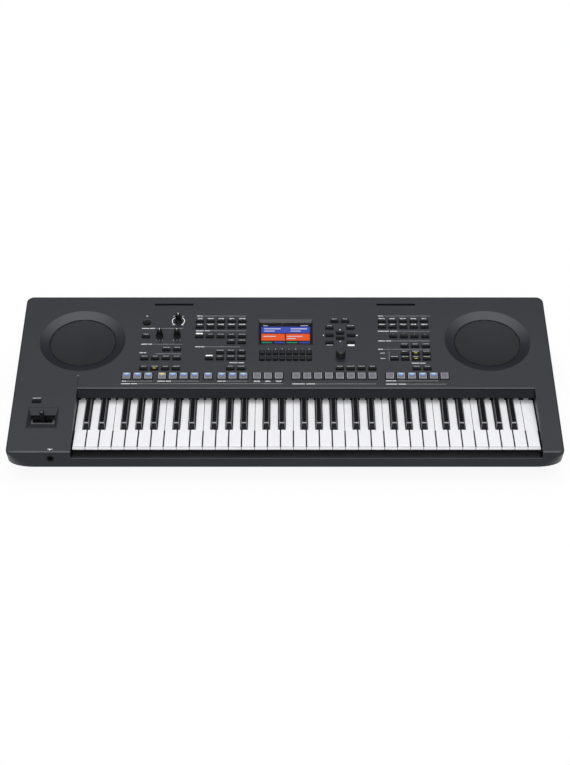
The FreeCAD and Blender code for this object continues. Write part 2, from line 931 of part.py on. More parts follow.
def run(column, row, count, pitch=button_pitch):
    """Places of a straight run of buttons."""
    return [(column + index * pitch, row) for index in range(count)]


def small_bank(name, places):
    """Bank of the small black buttons."""
    bank(name, places, button_width, button_length, button_rise, button_dish)


def pad_bank(name, places):
    """Bank of the large silver pads."""
    bank(name, places, pad_width, pad_length, pad_rise, 0)


left_places = run(left_column, third_row, 1)
left_places += run(left_column + 2 * button_pitch, transpose_row, 2)
left_places += run(left_column, sixth_row, 4)
left_places += run(left_column, low_row, 4)
small_bank("left_buttons", left_places)
style_places = run(style_column, first_row, bank_count) + run(style_column, second_row, bank_count)
small_bank("style_buttons", style_places)
song_places = run(style_column, third_row, bank_count)
song_places += run(style_column + 3 * button_pitch, fourth_row, 2)
small_bank("song_buttons", song_places)
function_places = run(style_column + 2 * button_pitch, fifth_row, 3)
function_places += run(style_column + button_pitch, sixth_row, 4)
function_places += run(style_column + 3 * button_pitch, low_row, 2)
small_bank("function_buttons", function_places)
cursor_places = [
    (cursor_column - button_pitch / 2, cursor_top_row),
    (cursor_column + button_pitch / 2, cursor_top_row),
    (cursor_column, cursor_up_row),
    (cursor_column, cursor_down_row),
]
for row in (cursor_page_row, cursor_side_row, cursor_exit_row):
    cursor_places.append((cursor_column - button_pitch, row))
    cursor_places.append((cursor_column + button_pitch, row))
small_bank("cursor_buttons", cursor_places)
small_bank("bank_buttons", run(bank_column, low_row, 4))
voice_places = run(voice_column, first_row, bank_count) + run(voice_column, second_row, bank_count)
small_bank("voice_buttons", voice_places)
small_bank("one_touch_buttons", run(voice_column + button_pitch, third_row, 4))
small_bank("effect_buttons", run(voice_column + 2 * button_pitch, effect_row, 3))
part_places = run(voice_column + 2 * button_pitch, part_high_row, 3)
part_places += run(voice_column + button_pitch, part_low_row, 4)
part_places += run(voice_column + 3 * button_pitch, low_row, 2)
small_bank("part_buttons", part_places)
display_places = run(display_column, fifth_row, 8, display_button_pitch)
display_places += run(display_column, sixth_row, 8, display_button_pitch)
bank("display_buttons", display_places, display_button_width, display_button_length, button_rise, button_dish)
hold_column = hold_inset - half_width
hold_places = [(hold_column, hold_row)]
bank("hold_button", hold_places, hold_button_width, hold_button_length, button_rise, button_dish)
style_pad_places = []
pad_x = style_pad_column
for count in style_pad_groups:
    style_pad_places += run(pad_x, pad_row, count)
    pad_x += count * button_pitch + pad_group_gap
registration_column = pad_x - pad_group_gap + pad_bank_gap
multi_column = registration_column + registration_count * button_pitch + pad_bank_gap
pad_bank("style_pads", style_pad_places)
pad_bank("registration_pads", run(registration_column, pad_row, registration_count))
pad_bank("multi_pads", run(multi_column, pad_row, multi_count))

# Standby button: round, in a shallow dish of the panel
standby = disc(0, 0, standby_radius, flange_bottom, standby_rise)
standby = standby.fuse([
    disc(0, 0, standby_radius + flange_lip, flange_bottom, flange_top),
    slab(0, 0, stem_size, stem_size, stem_bottom, flange_bottom),
])
standby = standby.removeSplitter().translated(FreeCAD.Vector(left_column, standby_row, 0))
nodes["standby_button"] = on_panel(standby)
standby_dish = Part.makeCone(
    standby_radius + button_gap, standby_dish_radius, standby_dish_depth,
    FreeCAD.Vector(left_column, standby_row, -standby_dish_depth),
)
standby_hole_radius = standby_radius + button_gap
panel_cuts.append(standby_dish)
panel_cuts.append(disc(left_column, standby_row, standby_hole_radius, -case_wall - cut_overrun, cut_overrun))
switch_places.append((left_column, standby_row))

# Switch boards: hung under the panel on staked pins, with a switch below every button
bank_reach = (bank_count - 1) * button_pitch
left_board_start = left_column - board_side_rim
left_board_end = style_column + bank_reach + board_inner_rim
right_board_start = cursor_column - button_pitch - board_inner_rim
right_board_end = voice_column + bank_reach + board_side_rim
board_low_row = low_row - board_low_rim
board_high_row = top_row + board_high_rim
pad_board_start = style_pad_column - pad_board_side_rim
pad_board_end = multi_column + (multi_count - 1) * button_pitch + pad_board_side_rim
pad_board_low_row = pad_row - pad_board_low_rim
pad_board_high_row = pad_row + pad_board_high_rim
display_board_start = display_column - display_board_side_rim
display_board_end = display_places[-1][0] + display_board_side_rim
display_board_low_row = sixth_row - display_board_low_rim
display_board_high_row = fifth_row + display_board_high_rim
board_areas = [
    (left_board_start, left_board_end, board_low_row, board_high_row, end_shares, stake_row_shares),
    (right_board_start, right_board_end, board_low_row, board_high_row, end_shares, stake_row_shares),
    (pad_board_start, pad_board_end, pad_board_low_row, pad_board_high_row, pad_stake_shares, low_shares),
    (
        display_board_start, display_board_end, display_board_low_row, display_board_high_row,
        end_shares, end_shares,
    ),
    (
        hold_column - hold_board_width / 2, hold_column + hold_board_width / 2,
        hold_row - hold_board_length / 2, hold_row + hold_board_length / 2, end_shares, middle_shares,
    ),
]
boards = []
for x_start, x_end, row_start, row_end, x_shares, row_shares in board_areas:
    board_width = x_end - x_start
    board_length = row_end - row_start
    middle_x = (x_start + x_end) / 2
    middle_row = (row_start + row_end) / 2
    board = slab(middle_x, middle_row, board_width, board_length, switch_board_bottom, switch_board_top)
    holes = []
    for x_share in x_shares:
        stake_x = x_start + stake_inset + x_share * (board_width - 2 * stake_inset)
        for row_share in row_shares:
            stake_row = row_start + stake_inset + row_share * (board_length - 2 * stake_inset)
            panel_adds.append(disc(stake_x, stake_row, stake_radius, switch_board_top, -case_wall / 2))
            pin_low = switch_board_bottom - stake_pin_end
            panel_adds.append(disc(stake_x, stake_row, stake_pin_radius, pin_low, switch_board_top))
            hole_radius = stake_pin_radius + stake_pin_gap
            holes.append(disc(stake_x, stake_row, hole_radius, pin_low, switch_board_top + cut_overrun))
    switches = [
        slab(x, row, switch_size, switch_size, switch_board_top, switch_top)
        for x, row in switch_places
        if x_start < x < x_end and row_start < row < row_end
    ]
    boards.append(board.fuse(switches).cut(holes).removeSplitter())
nodes["panel_boards"] = on_panel(Part.makeCompound(boards))

# Knobs: turn on the shafts of the parts below them
shaft_socket = disc(0, 0, pot_shaft_radius + shaft_fit_gap, 0, pot_shaft_rise + shaft_end_gap)


def pointer_knob(skirt_radius):
    """Tapered knob with a skirt and a pointer groove across the rear half of its top."""
    body = turned([
        (0, knob_clearance),
        (skirt_radius, knob_clearance),
        (skirt_radius, knob_clearance + knob_skirt_height),
        (knob_waist_radius, knob_clearance + 2 * knob_skirt_height),
        (knob_top_radius, knob_height - knob_edge),
        (knob_top_radius - knob_edge, knob_height),
        (0, knob_height),
    ])
    groove_low = knob_height - knob_groove_depth
    groove_high = knob_height + cut_overrun
    groove = slab(0, knob_top_radius, knob_groove_width, 2 * knob_top_radius, groove_low, groove_high)
    return body.cut([shaft_socket, groove])


volume_knob = pointer_knob(knob_radius_volume)
live_knob = pointer_knob(knob_radius_live)
dial_profile = [
    (0, knob_clearance),
    (dial_radius, knob_clearance),
    (dial_radius, dial_height - dial_edge),
    (dial_radius - dial_edge, dial_height),
    (0, dial_height),
]
dimple_drop = dial_dimple_radius - dial_dimple_depth
dimple = Part.makeSphere(dial_dimple_radius, FreeCAD.Vector(0, dial_dimple_offset, dial_height + dimple_drop))
data_dial = turned(dial_profile).cut([shaft_socket, dimple])
knob_places = [
    ("volume_knob", volume_knob, volume_column, volume_row),
    ("live_knob_1", live_knob, live_column, live_row),
    ("live_knob_2", live_knob, live_column + live_pitch, live_row),
    ("data_dial", data_dial, cursor_column, dial_row),
]
pots = []
pot_top = switch_board_top + pot_height
for name, knob, x, row in knob_places:
    nodes[name] = on_panel(knob.translated(FreeCAD.Vector(x, row, 0)))
    pot = slab(x, row, pot_size, pot_size, switch_board_top, pot_top)
    bush = disc(x, row, pot_bush_radius, pot_top, -case_wall - pot_bush_gap)
    shaft = disc(x, row, pot_shaft_radius, pot_top, pot_shaft_rise)
    pots.append(pot.fuse([bush, shaft]).removeSplitter())
    panel_cuts.append(disc(x, row, shaft_hole_radius, -case_wall - cut_overrun, cut_overrun))
nodes["knob_pots"] = on_panel(Part.makeCompound(pots))

# Joystick: square well with a gate, a barrel that rocks to and fro, a stick that rocks sideways in the barrel
joystick_x = joystick_inset - half_width
gate_under = -gate_depth - gate_plate
housing_width = 2 * (barrel_half_length + trunnion_length)
housing_length = 2 * (barrel_radius + housing_wall + trunnion_radius)
housing = slab(joystick_x, joystick_row, well_width, well_length, gate_under, 0)
housing = housing.fuse([
    slab(
        joystick_x, joystick_row, well_width + 2 * housing_flange, well_length + 2 * housing_flange,
        -case_wall - housing_flange_thickness, -case_wall,
    ),
    slab(joystick_x, joystick_row, housing_width, housing_length, -housing_depth, gate_under),
])
well = tapered(
    joystick_x, joystick_row, (gate_width, gate_length), -gate_depth,
    (well_width - 2 * well_rim, well_length - 2 * well_rim), 0,
)
barrel_space_width = housing_width - 2 * housing_wall
barrel_space_length = housing_length - 2 * housing_wall
barrel_space = slab(
    joystick_x, joystick_row, barrel_space_width, barrel_space_length,
    housing_wall - housing_depth, gate_under,
)
gate = slab(joystick_x, joystick_row, gate_width, gate_length, -housing_depth / 2, 0)
trunnion_start = FreeCAD.Vector(joystick_x - housing_width, joystick_row, -barrel_drop)
trunnion_hole = Part.makeCylinder(trunnion_radius + hinge_fit_gap, 2 * housing_width, trunnion_start, along_x)
nodes["joystick_housing"] = on_panel(housing.cut([well, barrel_space, gate, trunnion_hole]).removeSplitter())
panel_cuts.append(slab(
    joystick_x, joystick_row, well_width + 2 * well_fit_gap, well_length + 2 * well_fit_gap,
    -case_wall - cut_overrun, cut_overrun,
))
barrel_length = 2 * barrel_half_length
barrel_start = FreeCAD.Vector(joystick_x - barrel_half_length, joystick_row, -barrel_drop)
bore_start = FreeCAD.Vector(joystick_x - barrel_half_length + barrel_wall, joystick_row, -barrel_drop)
pivot_start = FreeCAD.Vector(joystick_x - barrel_half_length - trunnion_length, joystick_row, -barrel_drop)
pin_start = FreeCAD.Vector(joystick_x, joystick_row - barrel_radius + barrel_wall / 2, -barrel_drop)
barrel = Part.makeCylinder(barrel_radius, barrel_length, barrel_start, along_x)
barrel_bore = Part.makeCylinder(
    barrel_radius - barrel_wall, barrel_length - 2 * barrel_wall, bore_start, along_x,
)
barrel_slot = slab(joystick_x, joystick_row, barrel_slot_width, barrel_slot_length, -barrel_drop, 0)
left_trunnion = Part.makeCylinder(trunnion_radius, trunnion_length, pivot_start, along_x)
right_trunnion = left_trunnion.translated(FreeCAD.Vector(barrel_length + trunnion_length, 0, 0))
stick_pin = Part.makeCylinder(stick_pin_radius, 2 * barrel_radius - barrel_wall, pin_start, along_y)
gimbal = barrel.cut([barrel_bore, barrel_slot]).fuse([left_trunnion, right_trunnion, stick_pin])
nodes["joystick_gimbal"] = on_panel(gimbal.removeSplitter())
stick_start = FreeCAD.Vector(joystick_x, joystick_row - stick_thickness / 2, -barrel_drop)
stick_shaft = slab(joystick_x, joystick_row, stick_width, stick_thickness, -barrel_drop, stick_rise)
crown = [edge for edge in stick_shaft.Edges if edge.BoundBox.ZMax > stick_rise - tiny]
stick_shaft = stick_shaft.makeFillet(stick_round, crown)
stick_hub = Part.makeCylinder(stick_hub_radius, stick_thickness, stick_start, along_y)
stick_bore = Part.makeCylinder(stick_pin_radius + hinge_fit_gap, barrel_radius * 2, pin_start, along_y)
nodes["joystick_stick"] = on_panel(stick_shaft.fuse(stick_hub).cut(stick_bore).removeSplitter())

# Speakers: conical bezel of the case, a dished grille on its ledge, the driver and the paper cone below
grille_radius = bezel_inner_radius - grille_fit_gap
ledge = -bezel_depth - grille_seat_depth
sound_radius = bezel_inner_radius - grille_seat_width
grille_top = ledge + grille_thickness
dish_radius = (sound_radius ** 2 + grille_sag ** 2) / (2 * grille_sag)
dish_angle = math.asin(sound_radius / dish_radius)


def dish_points(rim):
    """Three points of the grille's round hollow, from its axis out to the rim at the given rise."""
    centre = rim - grille_sag + dish_radius
    return [
        FreeCAD.Vector(dish_radius * math.sin(angle), 0, centre - dish_radius * math.cos(angle))
        for angle in (0, dish_angle / 2, dish_angle)
    ]


dish_low = dish_points(ledge)
dish_high = dish_points(grille_top)
grille_rim = [
    dish_low[-1],
    FreeCAD.Vector(grille_radius, 0, ledge),
    FreeCAD.Vector(grille_radius, 0, grille_top),
    dish_high[-1],
]
grille_edges = [Part.Arc(*dish_low).toShape()]
grille_edges += Part.makePolygon(grille_rim).Edges
grille_edges.append(Part.Arc(*dish_high).toShape())
grille_edges.append(Part.makeLine(dish_high[0], dish_low[0]))
grille = revolved(Part.Face(Part.Wire(grille_edges)))
driver_top = -speaker_boss_depth
flange_under = driver_top - basket_flange_thickness
throat_low = flange_under - basket_depth
driver = turned([
    (basket_mouth_radius, driver_top),
    (basket_flange_radius, driver_top),
    (basket_flange_radius, flange_under),
    (basket_mouth_radius + basket_wall, flange_under),
    (basket_throat_radius + basket_wall, throat_low + basket_wall),
    (magnet_radius, throat_low + basket_wall),
    (magnet_radius, throat_low - magnet_height),
    (0, throat_low - magnet_height),
    (0, throat_low + basket_wall),
    (basket_throat_radius, throat_low + basket_wall),
    (basket_mouth_radius, flange_under),
])
cone = turned([
    (cone_outer_radius, driver_top),
    (surround_radius, driver_top),
    (surround_radius, driver_top + surround_thickness),
    (cone_outer_radius, driver_top + surround_thickness),
    (cone_inner_radius, driver_top - cone_depth),
    (0, driver_top - cone_depth + dust_cap_sag),
    (0, driver_top - cone_depth + dust_cap_sag - cone_thickness),
    (cone_inner_radius - cone_thickness, driver_top - cone_depth - cone_thickness),
    (cone_inner_radius - cone_thickness, throat_low + 2 * basket_wall),
    (cone_inner_radius, throat_low + 2 * basket_wall),
    (cone_inner_radius, driver_top - cone_depth - 2 * cone_thickness),
])
cones = []
for side, x in (("left", -speaker_x), ("right", speaker_x)):
    centre = FreeCAD.Vector(x, speaker_row, 0)
    nodes["%s_speaker_grille" % side] = on_panel(grille.translated(centre))
    nodes["%s_speaker_driver" % side] = on_panel(driver.translated(centre))
    cones.append(cone.translated(centre))
    panel_adds.append(disc(x, speaker_row, bezel_outer_radius + speaker_boss_rim, driver_top, -case_wall / 2))
    bezel_start = FreeCAD.Vector(x, speaker_row, -bezel_depth)
    panel_cuts.append(Part.makeCone(bezel_inner_radius, bezel_outer_radius, bezel_depth, bezel_start))
    panel_cuts.append(disc(x, speaker_row, bezel_inner_radius, ledge, 0))
    panel_cuts.append(disc(x, speaker_row, sound_radius, driver_top - cut_overrun, 0))
nodes["speaker_cones"] = on_panel(Part.makeCompound(cones))

# Display: sloping bezel in the panel, window on a ledge, display module behind it
window_low = -window_depth - window_thickness
display_low = -display_boss_depth
view_width = window_width - 2 * window_ledge
view_length = window_length - 2 * window_ledge
nodes["display_window"] = on_panel(slab(
    display_x, display_row, window_width - 2 * window_fit_gap, window_length - 2 * window_fit_gap,
    window_low, -window_depth,
))
nodes["display_module"] = on_panel(slab(
    display_x, display_row, window_width + 2 * display_module_rim, window_length + 2 * display_module_rim,
    display_low - display_module_thickness, display_low,
))
panel_adds.append(slab(
    display_x, display_row, bezel_top_width + 2 * display_boss_rim, bezel_top_length + 2 * display_boss_rim,
    display_low, -case_wall / 2,
))
panel_cuts.append(tapered(
    display_x, display_row, (window_width, window_length), -window_depth,
    (bezel_top_width, bezel_top_length), 0,
))
panel_cuts.append(slab(display_x, display_row, window_width, window_length, window_low, -window_depth / 2))
panel_cuts.append(slab(display_x, display_row, view_width, view_length, display_low - cut_overrun, 0))

# Music rest slots: upright pockets along the rear edge
slot_depth = case_depth - rest_slot_from_rear
slot_front = slot_depth - rest_slot_width / 2
slot_rear = slot_depth + rest_slot_width / 2
slot_bottom = panel_height(slot_depth) - rest_slot_depth
slot_roof = panel_height(slot_front) - case_wall
for x in (-rest_slot_x, rest_slot_x):
    slot_start = x - rest_slot_length / 2
    slot_end = x + rest_slot_length / 2
    case_adds.append(block(
        slot_start - rest_slot_wall, slot_end + rest_slot_wall, slot_front - rest_slot_wall,
        slot_rear + rest_slot_wall, slot_bottom - rest_slot_wall, slot_roof,
    ))
    slot_top = rear_edge_height + cut_overrun
    case_cuts.append(block(slot_start, slot_end, slot_front, slot_rear, slot_bottom, slot_top))

# Sockets: jacks in the front of the left cheek and along the rear wall
rear_inside = case_depth - case_wall
rear_face = case_depth - jack_face_recess
headphone_x = headphone_inset - half_width
headphone_height = key_top - headphone_below_keys


def rear_jack(x, collar_radius, bore_radius):
    """Jack body on the main board, its collar in the rear wall."""
    half = jack_body_width / 2
    body = block(
        x - half, x + half, rear_inside - jack_body_length, rear_inside,
        jack_height - jack_body_below, jack_height + jack_body_above,
    )
    collar = deep_rod(x, rear_inside, rear_face, jack_height, collar_radius)
    bore = deep_rod(x, rear_face - jack_bore_length, rear_face + cut_overrun, jack_height, bore_radius)
    hole_radius = collar_radius + jack_hole_gap
    hole = deep_rod(x, rear_inside - cut_overrun, case_depth + cut_overrun, jack_height, hole_radius)
    case_cuts.append(hole)
    return body.fuse(collar).cut(bore).removeSplitter()


rear_jacks = []
for index in range(jack_count):
    rear_jacks.append(rear_jack(jack_column + index * jack_pitch, jack_collar_radius, jack_bore_radius))
rear_jacks.append(rear_jack(jack_column + jack_count * jack_pitch, mini_collar_radius, mini_bore_radius))
nodes["rear_jacks"] = Part.makeCompound(rear_jacks)
headphone_half = jack_body_width / 2
headphone = block(
    headphone_x - headphone_half, headphone_x + headphone_half, case_wall, case_wall + jack_body_length,
    headphone_height - jack_body_below, headphone_height + jack_body_above,
)
headphone = headphone.fuse(
    deep_rod(headphone_x, jack_face_recess, case_wall, headphone_height, headphone_collar_radius)
)
headphone_bore_end = jack_face_recess + jack_bore_length
headphone_bore = deep_rod(headphone_x, -cut_overrun, headphone_bore_end, headphone_height, jack_bore_radius)
nodes["headphone_jack"] = headphone.cut(headphone_bore).removeSplitter()
headphone_hole_radius = headphone_collar_radius + jack_hole_gap
case_cuts.append(
    deep_rod(headphone_x, -cut_overrun, case_wall + tiny, headphone_height, headphone_hole_radius)
)

board_top = jack_height - jack_body_below
board_bottom = board_top - board_thickness


def socket_block(x, width, height, length):
    """Rectangular socket on the main board, flush with the rear wall, and its opening in the wall."""
    half = width / 2 + jack_hole_gap
    case_cuts.append(block(
        x - half, x + half, rear_inside - cut_overrun, case_depth + cut_overrun,
        board_top - jack_hole_gap, board_top + height + jack_hole_gap,
    ))
    return block(x - width / 2, x + width / 2, rear_face - length, rear_face, board_top, board_top + height)


def socket_space(x, middle, width, height):
    """Room for a plug, open to the rear."""
    rear = rear_face + cut_overrun
    low = middle - height / 2
    return block(x - width / 2, x + width / 2, rear_face - usb_hole_depth, rear, low, low + height)


def socket_tongue(x, width, low, high):
    """Contact carrier that stands out from the back of a socket."""
    tongue_start = rear_face - usb_length
    return block(x - width / 2, x + width / 2, tongue_start, tongue_start + usb_hole_depth, low, high)


host_middle = board_top + usb_host_height / 2
host_post_low = host_middle - usb_host_post_height / 2
usb_host = socket_block(usb_host_x, usb_host_width, usb_host_height, usb_length)
usb_host = usb_host.cut(socket_space(usb_host_x, host_middle, usb_host_hole_width, usb_host_hole_height))
usb_host = usb_host.fuse(
    socket_tongue(usb_host_x, usb_host_post_width, host_post_low, host_post_low + usb_host_post_height)
)
device_middle = board_top + usb_device_height / 2
device_tongue_high = device_middle + usb_device_hole_height / 2
device_tongue_low = device_tongue_high - usb_device_tongue
device_tongue_width = usb_device_hole_width - 2 * usb_device_tongue
usb_device = socket_block(usb_device_x, usb_device_width, usb_device_height, usb_length)
usb_device = usb_device.cut(
    socket_space(usb_device_x, device_middle, usb_device_hole_width, usb_device_hole_height)
)
usb_device = usb_device.fuse(
    socket_tongue(usb_device_x, device_tongue_width, device_tongue_low, device_tongue_high)
)
inlet_middle = board_top + inlet_width / 2
inlet_front = rear_face - inlet_length
inlet_space = deep_rod(
    inlet_x, rear_face - inlet_bore_depth, rear_face + cut_overrun, inlet_middle, inlet_bore_radius,
)
inlet_pin = deep_rod(inlet_x, inlet_front, rear_face - inlet_pin_radius, inlet_middle, inlet_pin_radius)
inlet = socket_block(inlet_x, inlet_width, inlet_width, inlet_length).cut(inlet_space).fuse(inlet_pin)
nodes["rear_sockets"] = Part.makeCompound([
    usb_host.removeSplitter(),
    usb_device.removeSplitter(),
    inlet.removeSplitter(),
])

# Main board: carries the rear sockets, with chips, a heat sink and capacitors
main_board_rear = rear_inside - main_board_rear_gap
main_board_front = main_board_rear - main_board_length
board_middle = (main_board_front + main_board_rear - jack_body_length) / 2
main_board = block(
    main_board_start, main_board_end, main_board_front, main_board_rear, board_bottom, board_top,
)
board_span = main_board_end - main_board_start
fittings = []
for share in chip_shares:
    chip_x = main_board_start + share * board_span
    chip_half = chip_width / 2
    fittings.append(block(
        chip_x - chip_half, chip_x + chip_half, board_middle - chip_half, board_middle + chip_half,
        board_top, board_top + chip_height,
    ))
sink_x = main_board_start + sink_share * board_span
sink_half = sink_width / 2
fittings.append(block(
    sink_x - sink_half, sink_x + sink_half, board_middle, board_middle + sink_length,
    board_top, board_top + sink_height,
))
for share in can_shares:
    can_x = main_board_start + share * board_span
    fittings.append(post(can_x, board_middle - sink_length, can_radius, board_top, board_top + can_height))
nodes["main_board"] = main_board.fuse(fittings).removeSplitter()
board_posts = [
    (x, depth)
    for x in (main_board_start + board_post_inset, main_board_end - board_post_inset)
    for depth in (main_board_front + board_post_inset, main_board_rear - board_post_inset)
]

# Feet and screws
foot_x = half_width - foot_inset
foot_rear = case_depth - foot_from_rear
foot_places = [(x, depth) for x in (-foot_x, 0, foot_x) for depth in (foot_front, foot_rear)]
foot_top = foot_height + foot_recess
feet = [post(x, depth, foot_radius, 0, foot_top) for x, depth in foot_places]
nodes["rubber_feet"] = Part.makeCompound(feet)
post_x = half_width - post_inset
post_rear = case_depth - post_from_rear
rear_post_depth = case_depth - rear_post_inset
case_screw_places = [(x, depth) for x in (-post_x, post_x) for depth in (post_front, post_middle, post_rear)]
middle_post_x = main_board_end + rear_post_gap
case_screw_places += [(x, rear_post_depth) for x in (-rear_post_x, middle_post_x, rear_post_x)]


def screw(length):
    """Pan head screw, its seat at the origin and its shank upward."""
    return turned([
        (0, -screw_head_height),
        (screw_head_radius, -screw_head_height),
        (screw_head_radius, 0),
        (screw_shank_radius, 0),
        (screw_shank_radius, length),
        (0, length),
    ])


case_screw = screw(screw_length)
frame_screw = screw(frame_screw_length)
frame_screw.rotate(FreeCAD.Vector(0, 0, 0), along_x, 180)
screws = [
    case_screw.translated(FreeCAD.Vector(x, front_y + depth, screw_seat_height))
    for x, depth in case_screw_places
]
screws += [
    frame_screw.translated(FreeCAD.Vector(x, front_y + depth, frame_top))
    for x, depth in frame_screw_places
]
nodes["case_screws"] = Part.makeCompound(screws)
for x, depth in case_screw_places:
    case_adds.append(post(x, depth, post_radius, seam_height, panel_height(depth) - case_wall / 2))
    shank_end = screw_seat_height + screw_length
    case_cuts.append(post(x, depth, screw_hole_radius, 0, shank_end + cut_overrun))

# Lower case: tray with a drawn-in hull, screw wells, posts for the key frame and the main board
floor_top = foot_height + case_wall
hull = Part.makeLoft([hull_outline(0, foot_height), seam_outline(0)], True, True)
hull_space = Part.makeLoft([hull_outline(case_wall, floor_top), seam_outline(case_wall)], True, True)
tray_adds = [post(x, depth, post_radius, foot_height, seam_height) for x, depth in case_screw_places]
tray_adds += [post(x, depth, post_radius, foot_height, frame_under) for x, depth in frame_screw_places]
tray_adds += [post(x, depth, board_post_radius, foot_height, board_bottom) for x, depth in board_posts]
tray_hole_top = seam_height + cut_overrun
tray_cuts = [post(x, depth, screw_hole_radius, 0, tray_hole_top) for x, depth in case_screw_places]
tray_cuts += [post(x, depth, screw_well_radius, 0, screw_seat_height) for x, depth in case_screw_places]
frame_screw_end = frame_top - frame_screw_length - cut_overrun
tray_cuts += [
    post(x, depth, screw_hole_radius, frame_screw_end, frame_top) for x, depth in frame_screw_places
]
tray_cuts += [post(x, depth, foot_radius + foot_recess_gap, 0, foot_top) for x, depth in foot_places]
nodes["lower_case"] = hull.cut(hull_space).fuse(tray_adds).cut(tray_cuts).removeSplitter()


# Upper case: shell under the sloping panel, with the key bay, the front rail and everything gathered above
def shell_body(inset):
    """Solid under the sloping panel, drawn in by the inset on every side but the bottom."""
    blend = case_outline(inset, front_top_corner, front_top_corner, corner_blend_height)
    skirt = Part.makeLoft([seam_outline(inset), blend], True, True)
    tower_height = rear_edge_height - corner_blend_height + cut_overrun
    tower = Part.Face(blend).extrude(FreeCAD.Vector(0, 0, tower_height))
    sky = on_panel(slab(0, case_depth / 2, 2 * case_width, 2 * case_depth, -inset, case_depth))
    return skirt.fuse(tower).cut(sky).removeSplitter()


to_panel = panel_place.inverse()


def lies_on_panel(edge):
    """True for an edge with both ends in the panel surface."""
    return all(abs(to_panel.multVec(vertex.Point).z) < tiny for vertex in edge.Vertexes)


outer = shell_body(0)
outer = outer.makeFillet(top_edge_round, [edge for edge in outer.Edges if lies_on_panel(edge)])
shell = outer.cut(shell_body(case_wall))
cheek_wall_bottom = seam_height + cheek_wall_overlap
for x_start, x_end in ((bay_left - case_wall, bay_left), (bay_right, bay_right + case_wall)):
    cheek_rear = lip_depth + case_wall
    cheek_wall = block(x_start, x_end, case_wall / 2, cheek_rear, cheek_wall_bottom, rear_edge_height)
    case_adds.append(cheek_wall.common(outer))
lip_corner = FreeCAD.Vector(bay_left, panel_lip_row, -panel_lip_round)
lip_share = 1 - math.sqrt(0.5)
lip_middle = FreeCAD.Vector(
    bay_left, panel_lip_row + panel_lip_round * lip_share, -panel_lip_round * lip_share,
)
lip_top = FreeCAD.Vector(bay_left, panel_lip_row + panel_lip_round, 0)
sky_rear = FreeCAD.Vector(bay_left, panel_lip_row + panel_lip_round, cut_overrun)
sky_front = FreeCAD.Vector(bay_left, -case_depth, cut_overrun)
low_front = FreeCAD.Vector(bay_left, -case_depth, -front_edge_height)
low_rear = FreeCAD.Vector(bay_left, panel_lip_row, -front_edge_height)
bay_edges = [Part.Arc(lip_corner, lip_middle, lip_top).toShape()]
bay_corners = [lip_top, sky_rear, sky_front, low_front, low_rear, lip_corner]
bay_edges += [Part.makeLine(start, end) for start, end in zip(bay_corners[:-1], bay_corners[1:])]
bay_profile = Part.Face(Part.Wire(bay_edges))
bay = on_panel(bay_profile.extrude(FreeCAD.Vector(bay_right - bay_left, 0, 0)))
cap_bottom = rail_height - rail_cap_height
over_rail = block(bay_left, bay_right, -case_depth, case_depth, cap_bottom, rear_edge_height)
rail_cap = block(bay_left, bay_right, 0, rail_cap_depth, cap_bottom, rail_height)
cap_rim = [
    edge for edge in rail_cap.Edges
    if edge.BoundBox.ZMin > rail_height - tiny and edge.BoundBox.XLength > case_wall
]
rail_cap = rail_cap.makeFillet(rail_cap_round, cap_rim)
shell = shell.fuse(case_adds + [on_panel(shape) for shape in panel_adds])
shell = shell.cut([bay.common(over_rail)] + case_cuts + [on_panel(shape) for shape in panel_cuts])
nodes["upper_case"] = shell.fuse(rail_cap).removeSplitter()

# Write every node
for name, shape in nodes.items():
    shape.exportStep("parts/%s.step" % name)
    print(name, len(shape.Solids), shape.isValid(), round(shape.Volume))
print(len(nodes), "nodes")
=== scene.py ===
import json
import math

import bpy
import numpy as np
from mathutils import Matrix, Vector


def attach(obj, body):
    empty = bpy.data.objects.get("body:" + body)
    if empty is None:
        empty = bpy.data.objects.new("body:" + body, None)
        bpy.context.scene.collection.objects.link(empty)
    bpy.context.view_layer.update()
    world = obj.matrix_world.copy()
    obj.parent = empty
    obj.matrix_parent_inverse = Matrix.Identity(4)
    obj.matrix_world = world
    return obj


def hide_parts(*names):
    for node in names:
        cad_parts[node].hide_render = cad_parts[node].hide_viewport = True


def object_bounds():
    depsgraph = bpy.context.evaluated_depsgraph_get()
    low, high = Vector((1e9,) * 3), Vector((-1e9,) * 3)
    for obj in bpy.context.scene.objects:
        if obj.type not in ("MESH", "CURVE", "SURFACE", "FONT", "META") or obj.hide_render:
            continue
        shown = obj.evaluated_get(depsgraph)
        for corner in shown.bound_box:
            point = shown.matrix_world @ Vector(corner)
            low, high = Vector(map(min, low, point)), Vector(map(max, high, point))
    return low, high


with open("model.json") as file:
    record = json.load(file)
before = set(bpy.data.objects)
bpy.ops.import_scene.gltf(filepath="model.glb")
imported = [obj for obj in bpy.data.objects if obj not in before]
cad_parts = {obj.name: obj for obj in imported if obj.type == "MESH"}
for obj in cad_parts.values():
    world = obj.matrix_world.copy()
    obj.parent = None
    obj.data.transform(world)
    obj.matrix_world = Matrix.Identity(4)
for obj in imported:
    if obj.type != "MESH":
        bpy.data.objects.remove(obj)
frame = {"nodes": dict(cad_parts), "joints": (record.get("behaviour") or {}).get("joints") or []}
nodes = frame["nodes"]
cad_box = [list(corner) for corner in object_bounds()]

# Lower case: the tray under everything, injection moulded in dark plastic with a fine spark-eroded skin. Its
# colour is darker than the upper case's, painted shade for the underside.
# Nine screws pull it up against the upper case, and the key frame and main board stand on its posts.
mm = 0.001
tone_limits = (0.35, 0.65)
gloss_limits = (0.3, 0.7)
broad_cloud = 9.0


def shown(red, green, blue):
    """Linear colour of a display colour given from 0 to 255, by the standard display curve."""
    share = np.array((red, green, blue)) / 255
    linear = np.where(share <= 0.04045, share / 12.92, ((share + 0.055) / 1.055) ** 2.4)
    return (*linear.tolist(), 1.0)


